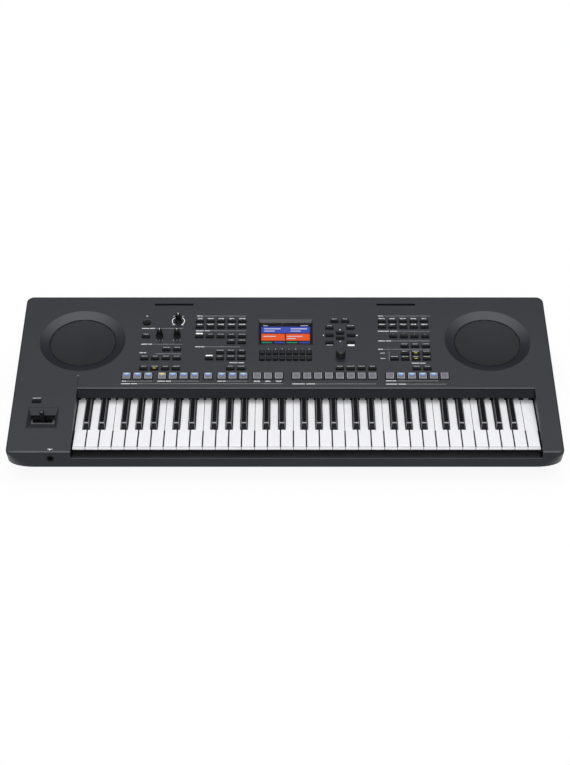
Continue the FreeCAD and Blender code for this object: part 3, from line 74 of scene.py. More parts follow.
def give(socket, value):
    """Links an output to an input socket, or sets the input to a plain value."""
    if isinstance(value, bpy.types.NodeSocket):
        socket.id_data.links.new(value, socket)
    else:
        socket.default_value = value


def feed(node, **values):
    """Gives values to a node's inputs, each named in plain words such as from_min."""
    for words, value in values.items():
        give(node.inputs[words.replace("_", " ").title().replace("Ior", "IOR")], value)


def reckoned(tree, operation, *values):
    """Output of a maths node that is given sockets or plain numbers."""
    node = tree.nodes.new("ShaderNodeMath")
    node.operation = operation
    for socket, value in zip(node.inputs, values):
        give(socket, value)
    return node.outputs[0]


def ranged(tree, **values):
    """Output of a range node: a value carried in a straight line from one pair of limits to another."""
    node = tree.nodes.new("ShaderNodeMapRange")
    feed(node, **values)
    return node.outputs["Result"]


def new_group(name, inputs, outputs):
    """Empty shader group with float inputs and outputs, the values it is given, and its end node."""
    group = bpy.data.node_groups.new(name, "ShaderNodeTree")
    for word, value in inputs.items():
        socket = group.interface.new_socket(word, in_out="INPUT", socket_type="NodeSocketFloat")
        socket.default_value = value
    for word in outputs:
        group.interface.new_socket(word, in_out="OUTPUT", socket_type="NodeSocketFloat")
    given = group.nodes.new("NodeGroupInput").outputs
    return group, given, group.nodes.new("NodeGroupOutput")


def moulded_grain_group():
    """Skin of a moulding: fine grain noise for height, and the mean of it and a broad cloud for tone."""
    scales = {"Grain": 1 / mm, "Cloud": broad_cloud}
    group, given, result = new_group("moulded_grain", scales, ("Tone", "Height"))
    place = group.nodes.new("ShaderNodeTexCoord").outputs["Object"]
    noises = []
    for scale, detail in (("Grain", 2.0), ("Cloud", 3.0)):
        noise = group.nodes.new("ShaderNodeTexNoise")
        feed(noise, vector=place, scale=given[scale], detail=detail)
        noises.append(noise.outputs["Fac"])
    fine, broad = noises
    mean = reckoned(group, "MULTIPLY_ADD", fine, 0.5, reckoned(group, "MULTIPLY", broad, 0.5))
    feed(result, tone=mean, height=fine)
    return group


moulded_grain = moulded_grain_group()


def placed(material, group, **values):
    """Outputs of a shader group that is put in a material with its own values."""
    node = material.node_tree.nodes.new("ShaderNodeGroup")
    node.node_tree = group
    feed(node, **values)
    return node.outputs


def shader_of(material):
    """The main shader of a material."""
    return material.node_tree.nodes["Principled BSDF"]


def plain(name, **values):
    """Material whose main shader has the given values."""
    material = bpy.data.materials.new(name)
    material.use_nodes = True
    feed(shader_of(material), **values)
    return material


def grained(name, dark, light, roughness, grain, depth, cloud=broad_cloud, **values):
    """Material whose colour and roughness run between two values with the tone of its grain, under a bump
    of the given depth. The grain is a length, the cloud a number to the metre."""
    material = plain(name, **values)
    tree = material.node_tree
    skin = placed(material, moulded_grain, grain=1 / grain, cloud=cloud)
    colour = tree.nodes.new("ShaderNodeValToRGB")
    for element, limit, tone in zip(colour.color_ramp.elements, tone_limits, (dark, light)):
        element.position = limit
        element.color = shown(*tone)
    feed(colour, fac=skin["Tone"])
    gloss = ranged(
        tree, value=skin["Tone"], from_min=gloss_limits[0], from_max=gloss_limits[1],
        to_min=roughness[0], to_max=roughness[1],
    )
    bump = tree.nodes.new("ShaderNodeBump")
    feed(bump, distance=depth, height=skin["Height"])
    shader = shader_of(material)
    feed(shader, base_color=colour.outputs["Color"], roughness=gloss, normal=bump.outputs["Normal"])
    return material


def dress(material, *names):
    """Gives CAD nodes their material."""
    for name in names:
        for slot in nodes[name].material_slots:
            slot.material = material


dress(grained(
    "case_plastic", dark=(21, 22, 26), light=(26, 27, 31), roughness=(0.5, 0.58),
    grain=0.9 * mm, depth=0.02 * mm, specular_ior_level=0.08,
), "lower_case")

# Feet and screws: six turned rubber discs glued into shallow recesses of the tray.
# The screws are pan heads in black zinc, sunk in wells so that the case stands on the rubber alone.
dress(grained(
    "foot_rubber", dark=(26, 26, 27), light=(34, 34, 35), roughness=(0.75, 0.9),
    grain=0.6 * mm, depth=0.04 * mm,
), "rubber_feet")
dress(grained(
    "screw_steel", dark=(62, 62, 66), light=(82, 82, 86), roughness=(0.3, 0.45),
    grain=0.4 * mm, depth=0.01 * mm, metallic=1.0,
), "case_screws")

# Key bed: one folded sheet of black-coated steel carries the hinge rail, with felt strips that stop the keys.
# A long circuit board lies on it, and a moulded strip of grey rubber domes closes its contacts.
dress(grained(
    "frame_coat", dark=(30, 30, 31), light=(40, 40, 41), roughness=(0.4, 0.55),
    grain=1.2 * mm, depth=0.01 * mm,
), "key_frame")
dress(grained(
    "felt", dark=(40, 40, 42), light=(64, 63, 66), roughness=(0.9, 1.0),
    grain=0.5 * mm, depth=0.2 * mm, sheen_weight=0.4,
), "key_felts")
dress(grained(
    "board_lacquer", dark=(18, 66, 38), light=(28, 88, 52), roughness=(0.25, 0.4),
    grain=4.0 * mm, depth=0.02 * mm,
), "key_contact_board", "main_board", "panel_boards")
dress(grained(
    "contact_rubber", dark=(120, 120, 122), light=(138, 138, 140), roughness=(0.6, 0.75),
    grain=0.8 * mm, depth=0.02 * mm,
), "contact_rubbers")

# Keys: thin-walled caps in glossy white plastic, moulded in two combs to an octave and snapped on one rail.
# The black keys are a third comb, in satin black plastic with a fine grain that keeps fingers from slipping.
# Their front edges carry a painted highlight.
octaves = range(1, 6)
forward_turn = math.radians(90)
highlight_half_width = 1.6 * mm
highlight_core_share = 0.3
highlight_depth_share = 0.5
flat_top_band = 0.3 * mm
white_plastic = grained(
    "white_key_plastic", dark=(226, 226, 229), light=(231, 231, 234), roughness=(0.16, 0.24),
    grain=4.0 * mm, depth=0.004 * mm, cloud=26.0, specular_ior_level=0.5,
)
black_plastic = grained(
    "black_key_plastic", dark=(16, 16, 18), light=(21, 21, 23), roughness=(0.26, 0.34),
    grain=0.7 * mm, depth=0.01 * mm, cloud=40.0, specular_ior_level=0.02, coat_roughness=0.3,
)
dress(white_plastic, *(f"keys_{notes}_{octave}" for octave in octaves for notes in ("c_e_g_b", "d_f_a")))
dress(black_plastic, *(f"keys_black_{octave}" for octave in octaves))


def mesh_points(mesh):
    """Every point of a mesh, one to a row."""
    points = np.empty(len(mesh.vertices) * 3, np.float32)
    mesh.vertices.foreach_get("co", points)
    return points.reshape(-1, 3).astype(float)


def node_points(name):
    """Every point of a CAD node in the object's frame."""
    return mesh_points(nodes[name].data)


def laid_over(material, share, colour):
    """Mixes a colour over a material's own base colour, by the share that a socket gives."""
    mixed = material.node_tree.nodes.new("ShaderNodeMix")
    mixed.data_type = "RGBA"
    shader = shader_of(material)
    feed(mixed, factor=share, a=shader.inputs["Base Color"].links[0].from_socket, b=shown(*colour))
    feed(shader, base_color=mixed.outputs["Result"])


def axes_of(tree, vector):
    """X, Y and Z of a vector."""
    node = tree.nodes.new("ShaderNodeSeparateXYZ")
    feed(node, vector=vector)
    return node.outputs


def object_axes(tree):
    """X, Y and Z of a point in the object's own coordinates."""
    return axes_of(tree, tree.nodes.new("ShaderNodeTexCoord").outputs["Object"])


def turned_group():
    """Mask by how far a face is turned to a level axis, either way along it; the turn swings that axis
    round from X. There is none at the start, the whole from full to fade, and none again at the end."""
    limits = {"Turn": 0.0, "Start": 0.0, "Full": 1.0, "Fade": 1.5, "End": 2.0}
    group, given, result = new_group("turned_band", limits, ("Share",))
    swung = group.nodes.new("ShaderNodeVectorRotate")
    swung.rotation_type = "Z_AXIS"
    swung.invert = True
    normal = group.nodes.new("ShaderNodeNewGeometry").outputs["Normal"]
    feed(swung, vector=normal, angle=given["Turn"])
    along = reckoned(group, "ABSOLUTE", axes_of(group, swung.outputs["Vector"])["X"])
    rise = ranged(group, value=along, from_min=given["Start"], from_max=given["Full"])
    fall = ranged(group, value=along, from_min=given["End"], from_max=given["Fade"])
    feed(result, share=reckoned(group, "MINIMUM", rise, fall))
    return group


turned_band = turned_group()


def banded(material, colour, **values):
    """Lays a colour of painted light or shade over a material where its faces are turned as the band's values
    say.
    """
    laid_over(material, placed(material, turned_band, **values)["Share"], colour)


def dotted(tree, first, second):
    """Cosine between two directions, each a socket or plain numbers."""
    node = tree.nodes.new("ShaderNodeVectorMath")
    node.operation = "DOT_PRODUCT"
    give(node.inputs[0], first)
    give(node.inputs[1], second)
    return node.outputs["Value"]


def facing_group():
    """Coat by where a face looks: the cosine between it and an axis that leans forward from upright.
    There is none where that is low, and the whole weight where it is high."""
    limits = {"Lean": 0.0, "Low": 0.0, "High": 1.0, "Weight": 1.0}
    group, given, result = new_group("facing_coat", limits, ("Coat",))
    axis = group.nodes.new("ShaderNodeCombineXYZ")
    forward = reckoned(group, "MULTIPLY", reckoned(group, "SINE", given["Lean"]), -1.0)
    feed(axis, y=forward, z=reckoned(group, "COSINE", given["Lean"]))
    normal = group.nodes.new("ShaderNodeNewGeometry").outputs["Normal"]
    cosine = dotted(group, normal, axis.outputs["Vector"])
    coat = ranged(group, value=cosine, from_min=given["Low"], from_max=given["High"], to_max=given["Weight"])
    feed(result, coat=coat)
    return group


facing_coat = facing_group()


def coated(material, **values):
    """Lets a facing coat set the weight of a material's clear coat."""
    feed(shader_of(material), coat_weight=placed(material, facing_coat, **values)["Coat"])


def edge_wear(material, row, height, colour):
    """Painted highlight line across keys: whole at the given row and height, fading before, behind and below.
    """
    tree = material.node_tree
    axes = object_axes(tree)
    distance = reckoned(tree, "ABSOLUTE", reckoned(tree, "SUBTRACT", axes["Y"], row))
    core = highlight_core_share * highlight_half_width
    across = ranged(tree, value=distance, from_min=highlight_half_width, from_max=core)
    whole = height - highlight_depth_share * highlight_half_width
    above = ranged(tree, value=axes["Z"], from_min=height - highlight_half_width, from_max=whole)
    laid_over(material, reckoned(tree, "MULTIPLY", across, above), colour)


# White keys have painted shade on the front edge, a painted highlight on the lip, and painted shade on their
# sides, grey on the walls and darker on the side edges.
banded(white_plastic, (120, 120, 124), turn=forward_turn, start=0.03, full=0.15, fade=0.8, end=0.95)
banded(white_plastic, (252, 252, 253), turn=forward_turn, start=0.85, full=0.97)
banded(white_plastic, (112, 112, 115), start=0.4, full=0.8)
banded(white_plastic, (60, 60, 63), start=0.08, full=0.3, fade=0.85, end=0.97)
# Black keys have a painted highlight on their side edges and a clear-coat sheen on top.
banded(black_plastic, (140, 140, 144), start=0.25, full=0.45, fade=0.72, end=0.92)
coated(black_plastic, low=0.45, high=0.75, weight=0.2)
black_points = node_points("keys_black_1")
black_top = black_points[:, 2].max()
black_edge = black_points[black_points[:, 2] > black_top - flat_top_band, 1].min()
# A painted highlight along the top front edge of each black key.
edge_wear(black_plastic, black_edge, black_top, (150, 150, 154))

# Sockets: the jacks are black moulded blocks soldered on the main board, their collars flush in the walls.
# The square sockets and the inlet are folded from plated sheet round a moulded tongue or pin.
dress(grained(
    "jack_plastic", dark=(7, 7, 8), light=(10, 10, 11), roughness=(0.2, 0.3),
    grain=0.8 * mm, depth=0.01 * mm, specular_ior_level=0.08,
), "rear_jacks", "headphone_jack")
dress(grained(
    "socket_metal", dark=(168, 168, 172), light=(190, 190, 194), roughness=(0.22, 0.36),
    grain=0.6 * mm, depth=0.006 * mm, metallic=1.0,
), "rear_sockets")

# Speakers: a pressed steel basket with its magnet, coated black, and a cone of dark paper pulp.
# They are screwed under the panel behind the grilles, and only the cones show through the holes.
dress(grained(
    "basket_coat", dark=(34, 34, 35), light=(46, 46, 47), roughness=(0.4, 0.55),
    grain=1.0 * mm, depth=0.01 * mm,
), "left_speaker_driver", "right_speaker_driver")
dress(grained(
    "cone_pulp", dark=(30, 30, 31), light=(46, 45, 45), roughness=(0.85, 0.95),
    grain=0.7 * mm, depth=0.1 * mm,
), "speaker_cones")

# Display: a colour panel behind a clear acrylic window that lies on a ledge of the case.
# The window is coated against reflections and has a black printed border.
# The picture is a plain layout of blocks and bars, lit from behind.
panel_front_height = 67.4 * mm
mask_width = 1.3 * mm
mask_fit_gap = 0.1 * mm
mask_rise = 0.02 * mm
mask_depth = 0.03 * mm
screen_gap = 0.15 * mm
tile_depth = 0.1 * mm
tile_layer = 0.02 * mm
top_tile_layer = 8
pad_press = next(joint for joint in frame["joints"] if joint["name"] == "style_pads_press")
panel_out = -np.array(pad_press["axis"]) / np.linalg.norm(pad_press["axis"])
panel_across = np.array((1.0, 0.0, 0.0))
panel_up = np.cross(panel_out, panel_across)
panel_start = np.array((0.0, cad_box[0][1], panel_front_height))


def on_panel(x, row, rise):
    """Points in the object's frame: the panel's front edge plus x across, row up and rise off the slope."""
    x, row, rise = (np.asarray(value, float)[..., None] for value in np.broadcast_arrays(x, row, rise))
    return panel_start + x * panel_across + row * panel_up + rise * panel_out


def node_in_panel(name):
    """The reverse of on_panel: x, row and rise of every point of a CAD node."""
    return (node_points(name) - panel_start) @ np.stack((panel_across, panel_up, panel_out), axis=1)


def middle_of(points):
    """Middle of the smallest box round points."""
    return (points.min(0) + points.max(0)) / 2


def put(name, data):
    """Object of the given data, put in the scene."""
    thing = bpy.data.objects.new(name, data)
    bpy.context.scene.collection.objects.link(thing)
    return thing


def meshed(name, points, faces, *finishes):
    """Mesh object of points and faces that shows the given materials."""
    mesh = bpy.data.meshes.new(name)
    mesh.from_pydata(np.asarray(points).reshape(-1, 3).tolist(), [], np.asarray(faces).tolist())
    for finish in finishes:
        mesh.materials.append(finish)
    return put(name, mesh)


def new_piece(name, points, faces, body, slot, *finishes):
    """Mesh object that moves with a body. The slot argument is not used."""
    piece = meshed(name, points, faces, *finishes)
    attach(piece, body)
    return piece


def thicken(piece, thickness):
    """Turns a sheet into a closed body that lies behind its face."""
    solid = piece.modifiers.new("thickness", "SOLIDIFY")
    solid.thickness = thickness
    solid.offset = -1.0


def patches(name, rectangles, rise, thickness, body, slot, finish):
    """Flat rectangles on the panel, each from its left, right, low and high limits, thickened downwards."""
    left, right, low, high = np.asarray(rectangles, float).T
    corners = on_panel(np.stack((left, right, right, left), 1), np.stack((low, low, high, high), 1), rise)
    piece = new_piece(name, corners, np.arange(corners.size // 3).reshape(-1, 4), body, slot, finish)
    thicken(piece, thickness)
    return piece


def frames(name, middles, inner, outer, rise, thickness, body, slot, finish):
    """Flat square rings: four trapezia between an inner and an outer rectangle round each middle."""
    signs = np.array(((-1, -1), (1, -1), (1, 1), (-1, 1))) / 2
    rings = middles[:, None, None] + np.stack((outer * signs, inner * signs))[None]
    points = on_panel(rings[..., 0], rings[..., 1], rise)
    side = np.arange(4)
    after = (side + 1) % 4
    quads = np.stack((side, after, after + 4, side + 4), 1)
    faces = quads[None] + 8 * np.arange(len(middles))[:, None, None]
    thicken(new_piece(name, points, faces.reshape(-1, 4), body, slot, finish), thickness)


def tint(piece, colours):
    """Stores one colour at each face corner, which the lit materials read."""
    layer = piece.data.attributes.new("tint", "FLOAT_COLOR", "CORNER")
    layer.data.foreach_set("color", np.asarray(colours, np.float32).ravel())


def lit(name, roughness):
    """Clear plastic over a light: emission in the colour stored on the mesh, under a dulled black skin."""
    material = plain(
        name, base_color=shown(20, 20, 22), roughness=roughness, specular_ior_level=0.1,
        emission_strength=1.0,
    )
    stored = material.node_tree.nodes.new("ShaderNodeAttribute")
    stored.attribute_name = "tint"
    feed(shader_of(material), emission_color=stored.outputs["Color"])
    return material


mask_ink = grained(
    "mask_ink", dark=(8, 8, 9), light=(11, 11, 12), roughness=(0.15, 0.25),
    grain=2.0 * mm, depth=0.002 * mm, specular_ior_level=0.1,
)
window = node_in_panel("display_window")
window_size = np.ptp(window[:, :2], axis=0)
window_middle = middle_of(window[:, :2])
screen_size = window_size - 2 * mask_width
frames(
    "window_mask", window_middle[None], screen_size, window_size - mask_fit_gap,
    window[:, 2].max() + mask_rise, mask_depth, "case", "display", mask_ink,
)
sky, amber, leaf = shown(58, 76, 186), shown(246, 88, 16), shown(36, 140, 104)
pale, ink = shown(206, 212, 226), shown(4, 4, 6)
# Each tile is its left, right, low and high limit as shares of the screen, and its colour.
screen_tiles = [
    (0.00, 1.00, 0.00, 1.00, ink),
    (0.015, 0.985, 0.57, 0.89, sky),
    (0.015, 0.485, 0.19, 0.53, amber),
    (0.505, 0.985, 0.19, 0.53, amber),
    (0.02, 0.23, 0.05, 0.12, leaf),
    (0.27, 0.48, 0.05, 0.12, sky),
    (0.52, 0.73, 0.05, 0.12, leaf),
    (0.77, 0.98, 0.05, 0.12, sky),
    (0.07, 0.40, 0.76, 0.81, pale),
    (0.07, 0.28, 0.65, 0.69, pale),
    (0.60, 0.93, 0.76, 0.81, pale),
    (0.60, 0.80, 0.65, 0.69, pale),
    (0.06, 0.30, 0.38, 0.42, pale),
    (0.53, 0.84, 0.38, 0.42, pale),
    (0.53, 0.70, 0.27, 0.31, pale),
    (0.05, 0.14, 0.93, 0.96, pale),
    (0.80, 0.95, 0.93, 0.96, pale),
]
*tile_shares, tile_colours = zip(*screen_tiles)
tile_limits = np.transpose(tile_shares) * np.repeat(screen_size, 2)
tile_limits += np.repeat(window_middle - screen_size / 2, 2)
tile_layers = np.minimum(np.arange(len(screen_tiles)), top_tile_layer) * tile_layer
screen_rise = node_in_panel("display_module")[:, 2].max() + screen_gap
screen_picture = patches(
    "screen_picture", tile_limits, screen_rise + tile_layers[:, None], tile_depth, "case", "display",
    lit("screen_light", roughness=0.3),
)
tint(screen_picture, np.repeat(tile_colours, 4, axis=0))
dress(grained(
    "module_can", dark=(52, 52, 56), light=(70, 70, 74), roughness=(0.3, 0.45),
    grain=1.0 * mm, depth=0.01 * mm, metallic=1.0,
), "display_module")
dress(plain(
    "window_acrylic", base_color=shown(236, 238, 242), roughness=0.03, ior=1.18, transmission_weight=1.0,
), "display_window")

# Rotary parts: potentiometers and an encoder in plated cans, soldered on the switch boards.
# Only their shafts reach through the panel to the knobs, which are pressed on.
dress(grained(
    "pot_metal", dark=(150, 150, 154), light=(172, 172, 176), roughness=(0.3, 0.42),
    grain=0.8 * mm, depth=0.01 * mm, metallic=1.0,
), "knob_pots")

# Joystick: a moulded well with a square gate, dropped into the panel from below.
# The stick rocks sideways in a barrel that rocks to and fro; both are black plastic, smoother than the well.
dress(grained(
    "well_plastic", dark=(36, 37, 41), light=(42, 43, 47), roughness=(0.42, 0.52),
    grain=0.9 * mm, depth=0.02 * mm, specular_ior_level=0.2,
), "joystick_housing")
dress(grained(
    "stick_plastic", dark=(20, 20, 22), light=(28, 28, 30), roughness=(0.3, 0.42),
    grain=0.8 * mm, depth=0.01 * mm,
), "joystick_gimbal", "joystick_stick")

# Fallboard strip: one extruded length of black plastic that leans back behind the keys.
# It is polished, so it mirrors the rear ends of the keys faintly.
dress(grained(
    "strip_plastic", dark=(29, 30, 34), light=(34, 35, 39), roughness=(0.16, 0.24),
    grain=3.0 * mm, depth=0.004 * mm, specular_ior_level=0.12,
), "fallboard_strip")

# Upper case: the sloping panel with both cheeks, moulded in one with the front rail, in dark plastic.
# It is lacquered from above and in front, so the lacquer's sheen fades out on walls and on slopes that lean
# back. The rail below the keys stays bare.
lacquer_lean = math.radians(40)
lacquer_weight = 0.62
bare_below_keys = 10.0 * mm
lacquered_below_keys = 7.0 * mm
panel_plastic = grained(
    "panel_plastic", dark=(26, 29, 35), light=(30, 33, 39), roughness=(0.29, 0.35),
    grain=0.7 * mm, depth=0.005 * mm, specular_ior_level=0.2, coat_roughness=0.32,
)
key_top = node_points("keys_c_e_g_b_1")[:, 2].max()
lacquer_by_height = ranged(
    panel_plastic.node_tree, value=object_axes(panel_plastic.node_tree)["Z"],
    from_min=key_top - bare_below_keys, from_max=key_top - lacquered_below_keys, to_max=lacquer_weight,
)
coated(panel_plastic, lean=lacquer_lean, low=0.7, high=0.86, weight=lacquer_by_height)
dress(panel_plastic, "upper_case")

# Speaker grilles: a round steel sheet, punched with staggered holes and pressed into a shallow dish.
# It is painted dark grey and lies inside the sloping bezel, within a darker ring that is painted shade for
# the gap under the bezel's inner edge.
hole_pitch = 2.5 * mm
hole_radius = 0.85 * mm
hole_sides = 6
sheet_thickness = 1.0 * mm
sheet_inset = 0.6 * mm
sheet_drop = 0.1 * mm
plain_disc_thickness = 1.2 * mm
rim_width = 1.6 * mm
rim_fit_gap = 0.1 * mm
rim_slope = 0.3 * mm
rim_below_sheet = 0.15 * mm
rim_segments = 120


def dish_rise(radius, reach, edge_rise, sag):
    """Height of a dish: the edge's rise less the sag, plus the climb of its sphere out to the radius."""
    sphere = (reach ** 2 + sag ** 2) / (2 * sag)
    return edge_rise - sag + sphere - np.sqrt(sphere ** 2 - np.minimum(radius, reach) ** 2)


def punched_sheet(outer, reach, edge_rise, sag):
    """Hexagon cells on a triangular lattice: each has a ring on top, the hole's wall and a ring below.
    Cells share their corners, so equal points are merged; every point is lifted to the dish."""
    count = int(outer / hole_pitch) * 2
    first, second = np.meshgrid(np.arange(-count, count + 1), np.arange(-count, count + 1))
    centres = np.stack((first + second / 2, second * math.sqrt(0.75)), -1).reshape(-1, 2) * hole_pitch
    cell_radius = hole_pitch / math.sqrt(3)
    centres = centres[np.hypot(*centres.T) < outer - cell_radius]
    angles = np.radians((np.arange(hole_sides) + 0.5) * 360 / hole_sides)
    spokes = np.stack((np.cos(angles), np.sin(angles)), -1)
    ring_radii = np.array((cell_radius, hole_radius, hole_radius, cell_radius))
    flat = centres[:, None, None] + ring_radii[None, :, None, None] * spokes[None, None]
    drop = np.array((0, 0, sheet_thickness, sheet_thickness))[None, :, None]
    rise = dish_rise(np.hypot(flat[..., 0], flat[..., 1]), reach, edge_rise, sag) - drop
    points = np.concatenate((flat, rise[..., None]), -1).reshape(-1, 3)
    ring, side = np.meshgrid(np.arange(len(ring_radii) - 1), np.arange(hole_sides), indexing="ij")
    near, after = ring * hole_sides + side, ring * hole_sides + (side + 1) % hole_sides
    quads = np.stack((near, after, after + hole_sides, near + hole_sides), -1).reshape(-1, 4)
    faces = quads[None] + len(ring_radii) * hole_sides * np.arange(len(centres))[:, None, None]
    merged, index = np.unique(np.round(points, 7), axis=0, return_inverse=True)
    return merged, index.ravel()[faces.reshape(-1, 4)]


def turned_ring(profile, segments):
    """Closed ring: a closed profile of radius and rise pairs carried once round the axis."""
    turn = np.linspace(0, 2 * math.pi, segments, endpoint=False)
    radius, rise = np.asarray(profile).T
    points = np.stack((
        radius[None] * np.cos(turn)[:, None],
        radius[None] * np.sin(turn)[:, None],
        np.broadcast_to(rise, (segments, len(rise))),
    ), -1)
    step, corner = np.meshgrid(np.arange(segments), np.arange(len(rise)), indexing="ij")
    onward, beside = (step + 1) % segments, (corner + 1) % len(rise)
    steps = np.stack((step, onward, onward, step), -1)
    corners = np.stack((corner, corner, beside, beside), -1)
    return points.reshape(-1, 3), (steps * len(rise) + corners).reshape(-1, 4)


def joined(parts):
    """One list of points and one of faces from several of each."""
    starts = np.cumsum([0] + [len(points) for points, _ in parts[:-1]])
    return np.concatenate([points for points, _ in parts]), np.concatenate([
        faces + start for (_, faces), start in zip(parts, starts)
    ])


grille_paint = grained(
    "grille_paint", dark=(31, 33, 37), light=(37, 39, 43), roughness=(0.4, 0.5),
    grain=0.8 * mm, depth=0.01 * mm, specular_ior_level=0.4,
)
# The rim's dark colour is painted shade for the gap under the bezel's edge.
rim_shade = grained(
    "rim_shade", dark=(20, 21, 24), light=(26, 27, 30), roughness=(0.8, 0.95),
    grain=0.6 * mm, depth=0.05 * mm, specular_ior_level=0.1,
)
for side in ("left", "right"):
    node = f"{side}_speaker_grille"
    extent = node_in_panel(node)
    middle = middle_of(extent)
    outer = np.ptp(extent[:, 0]) / 2 - rim_fit_gap
    inner = outer - rim_width
    rim_top = extent[:, 2].max()
    rim_low = rim_top - sheet_thickness - rim_below_sheet
    sag = np.ptp(extent[:, 2]) - plain_disc_thickness
    sheet = punched_sheet(outer - sheet_inset, outer - rim_width / 2, rim_top - sheet_drop, sag)
    rim_profile = [(inner, rim_low), (outer, rim_low), (outer, rim_top), (inner, rim_top - rim_slope)]
    ring = turned_ring(rim_profile, rim_segments)
    local, faces = joined([sheet, ring])
    points = on_panel(middle[0] + local[:, 0], middle[1] + local[:, 1], local[:, 2])
    grille = new_piece(f"{side}_grille_sheet", points, faces, "case", "grille_metal", grille_paint, rim_shade)
    finish_index = np.repeat((0, 1), (len(sheet[1]), len(ring[1]))).astype(np.int32)
    grille.data.polygons.foreach_set("material_index", finish_index)
    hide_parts(node)

# Panel print: one pass of light grey ink, screen printed on the finished case before the controls go in.
# It has rules with a heading bar at their start, short bars above the buttons, and plain signs round knobs.
ink_rise = 0.03 * mm
ink_depth = 0.05 * mm
rule_width = 0.4 * mm
shortest_rule = 1.0 * mm
heading_height = 2.1 * mm
heading_gap = 1.5 * mm
heading_shares = ((0.0, 0.56), (0.62, 1.0))
label_height = 1.4 * mm
label_line = 1.75 * mm
label_gap = 0.7 * mm
shortest_label = 8.0 * mm
label_variation = 5.0 * mm
first_bar_share = 0.45
first_bar_variation = 0.2
button_label_lift = 6.4 * mm
pad_label_lift = -13.6 * mm
button_size = np.array((15.6, 7.4)) * mm
square_size = np.array((10.0, 10.4)) * mm
pad_size = np.array((14.2, 14.8)) * mm
cap_flat_band = 0.05 * mm
cap_tolerance = 0.1 * mm
golden_share = 0.618034


def caps(node, size):
    """Middles of a bank's caps, low rows first: halfway between top corners that lie one cap apart."""
    points = node_in_panel(node)
    top = points[points[:, 2] > points[:, 2].max() - cap_flat_band, :2]
    corners = np.unique(np.round(top, 5), axis=0)
    apart = corners[None] - corners[:, None]
    first, second = np.nonzero(np.all(np.abs(apart - size) < cap_tolerance, axis=-1))
    middles = (corners[first] + corners[second]) / 2
    return middles[np.lexsort((middles[:, 0], np.round(middles[:, 1], 3)))]


def spread(count, offset):
    """Even but irregular shares from 0 to 1: multiples of the golden ratio, whole turns left out."""
    return (np.arange(count) + offset) * golden_share % 1


def spans(left, right, row, height):
    """Rectangles from their left to their right end, of the given height round their rows."""
    return np.stack((left, right, row - height / 2, row + height / 2), 1)


def bars(middles, widths, height):
    """Rectangles of the given widths and height round middles."""
    x, row = middles.T
    return spans(x - widths / 2, x + widths / 2, row, height)


def labels(middles, lift, lines, offset):
    """Short bars above caps: each line is two bars with a gap between. The length of a line and the place of
    its gap vary from cap to cap with the spread, which starts at the offset."""
    made = []
    for line in range(lines):
        length = shortest_label + label_variation * spread(len(middles), offset + 7 * line)
        share = first_bar_share + first_bar_variation * spread(len(middles), offset + 3)
        row = middles[:, 1] + lift + label_line * (lines - 1 - line)
        start = middles[:, 0] - length / 2
        cut = start + share * length
        made.append(spans(start, cut, row, label_height))
        made.append(spans(cut + label_gap, start + length, row, label_height))
    return np.concatenate(made)


# Each rule is its left and right end, its row and the length of the heading at its left end.
rules = np.array((
    (-304.9, -3.7, 170.8, 30.0), (-303.4, -247.5, 177.6, 8.0), (-238.0, -160.1, 177.6, 26.0),
    (-126.0, -70.7, 177.6, 16.0), (13.0, 169.2, 170.4, 43.0), (188.0, 284.8, 178.4, 19.0),
    (188.0, 299.2, 169.8, 37.0), (-273.9, -196.0, 318.8, 25.0), (-273.4, -195.6, 275.7, 21.0),
    (-246.0, -196.0, 249.8, 0.0), (-275.0, -262.0, 252.6, 13.0), (-169.7, -75.2, 353.2, 11.0),
    (-170.2, -74.6, 312.2, 27.0), (-170.7, -85.3, 268.6, 18.0), (179.3, 279.5, 353.2, 10.0),
    (177.8, 277.2, 311.0, 37.0), (176.9, 275.8, 284.4, 25.0), (176.1, 274.5, 262.0, 9.0),
    (-105.0, -77.0, 226.0, 28.0), (238.0, 264.0, 224.8, 26.0),
)) * mm
rule_left, rule_right, rule_row, heading_length = rules.T
rule_start = rule_left + heading_length + heading_gap
drawn = rule_right > rule_start + shortest_rule
printed = [spans(rule_start, rule_right, rule_row, rule_width)[drawn]]
for shares in heading_shares:
    left, right = (rule_left + share * heading_length for share in shares)
    printed.append(spans(left, right, rule_row, heading_height)[heading_length > 0])
for index, (bank, lines) in enumerate((
    ("left_buttons", 1), ("style_buttons", 2), ("song_buttons", 1), ("function_buttons", 1),
    ("bank_buttons", 1), ("voice_buttons", 2), ("effect_buttons", 1), ("part_buttons", 1),
)):
    printed.append(labels(caps(bank, button_size), button_label_lift, lines, offset=5 * index))
style_pads = caps("style_pads", pad_size)
printed.append(labels(style_pads[-3:], pad_label_lift, 2, offset=4))
cursor = caps("cursor_buttons", button_size)
printed.append(labels(cursor[-4:], button_label_lift, 1, offset=2))
printed.append(labels(cursor[:1], -button_label_lift, 1, offset=6))
# Bars beside the two part rows, and the fine lines that divide their columns.
part_bars = np.array(((184.0, 251.6), (184.6, 237.4))) * mm
part_bar_width = 9.0 * mm
part_lines = np.array(((196.4, 244.0), (236.8, 244.0))) * mm
part_line_size = np.array((0.25, 24.0)) * mm
printed.append(bars(part_bars, part_bar_width, label_height))
printed.append(bars(part_lines, *part_line_size))
# Dots under the two small knobs, and marks at the ends of the volume arcs.
small_knob_columns = np.array((-239.0, -205.8)) * mm
dot_columns = np.array((-6.1, 0.0, 6.1)) * mm
dot_row = 286.2 * mm
dot_size = np.array((1.0, 1.4)) * mm
arc_ends = np.array(((-214.0, 352.6), (-196.0, 352.6), (-214.4, 328.4), (-195.6, 328.4))) * mm
arc_end_size = np.array((3.6, 1.2)) * mm
dot_places = np.broadcast_arrays((small_knob_columns[:, None] + dot_columns).ravel(), dot_row)
printed.append(bars(np.stack(dot_places, 1), *dot_size))
printed.append(bars(arc_ends, *arc_end_size))
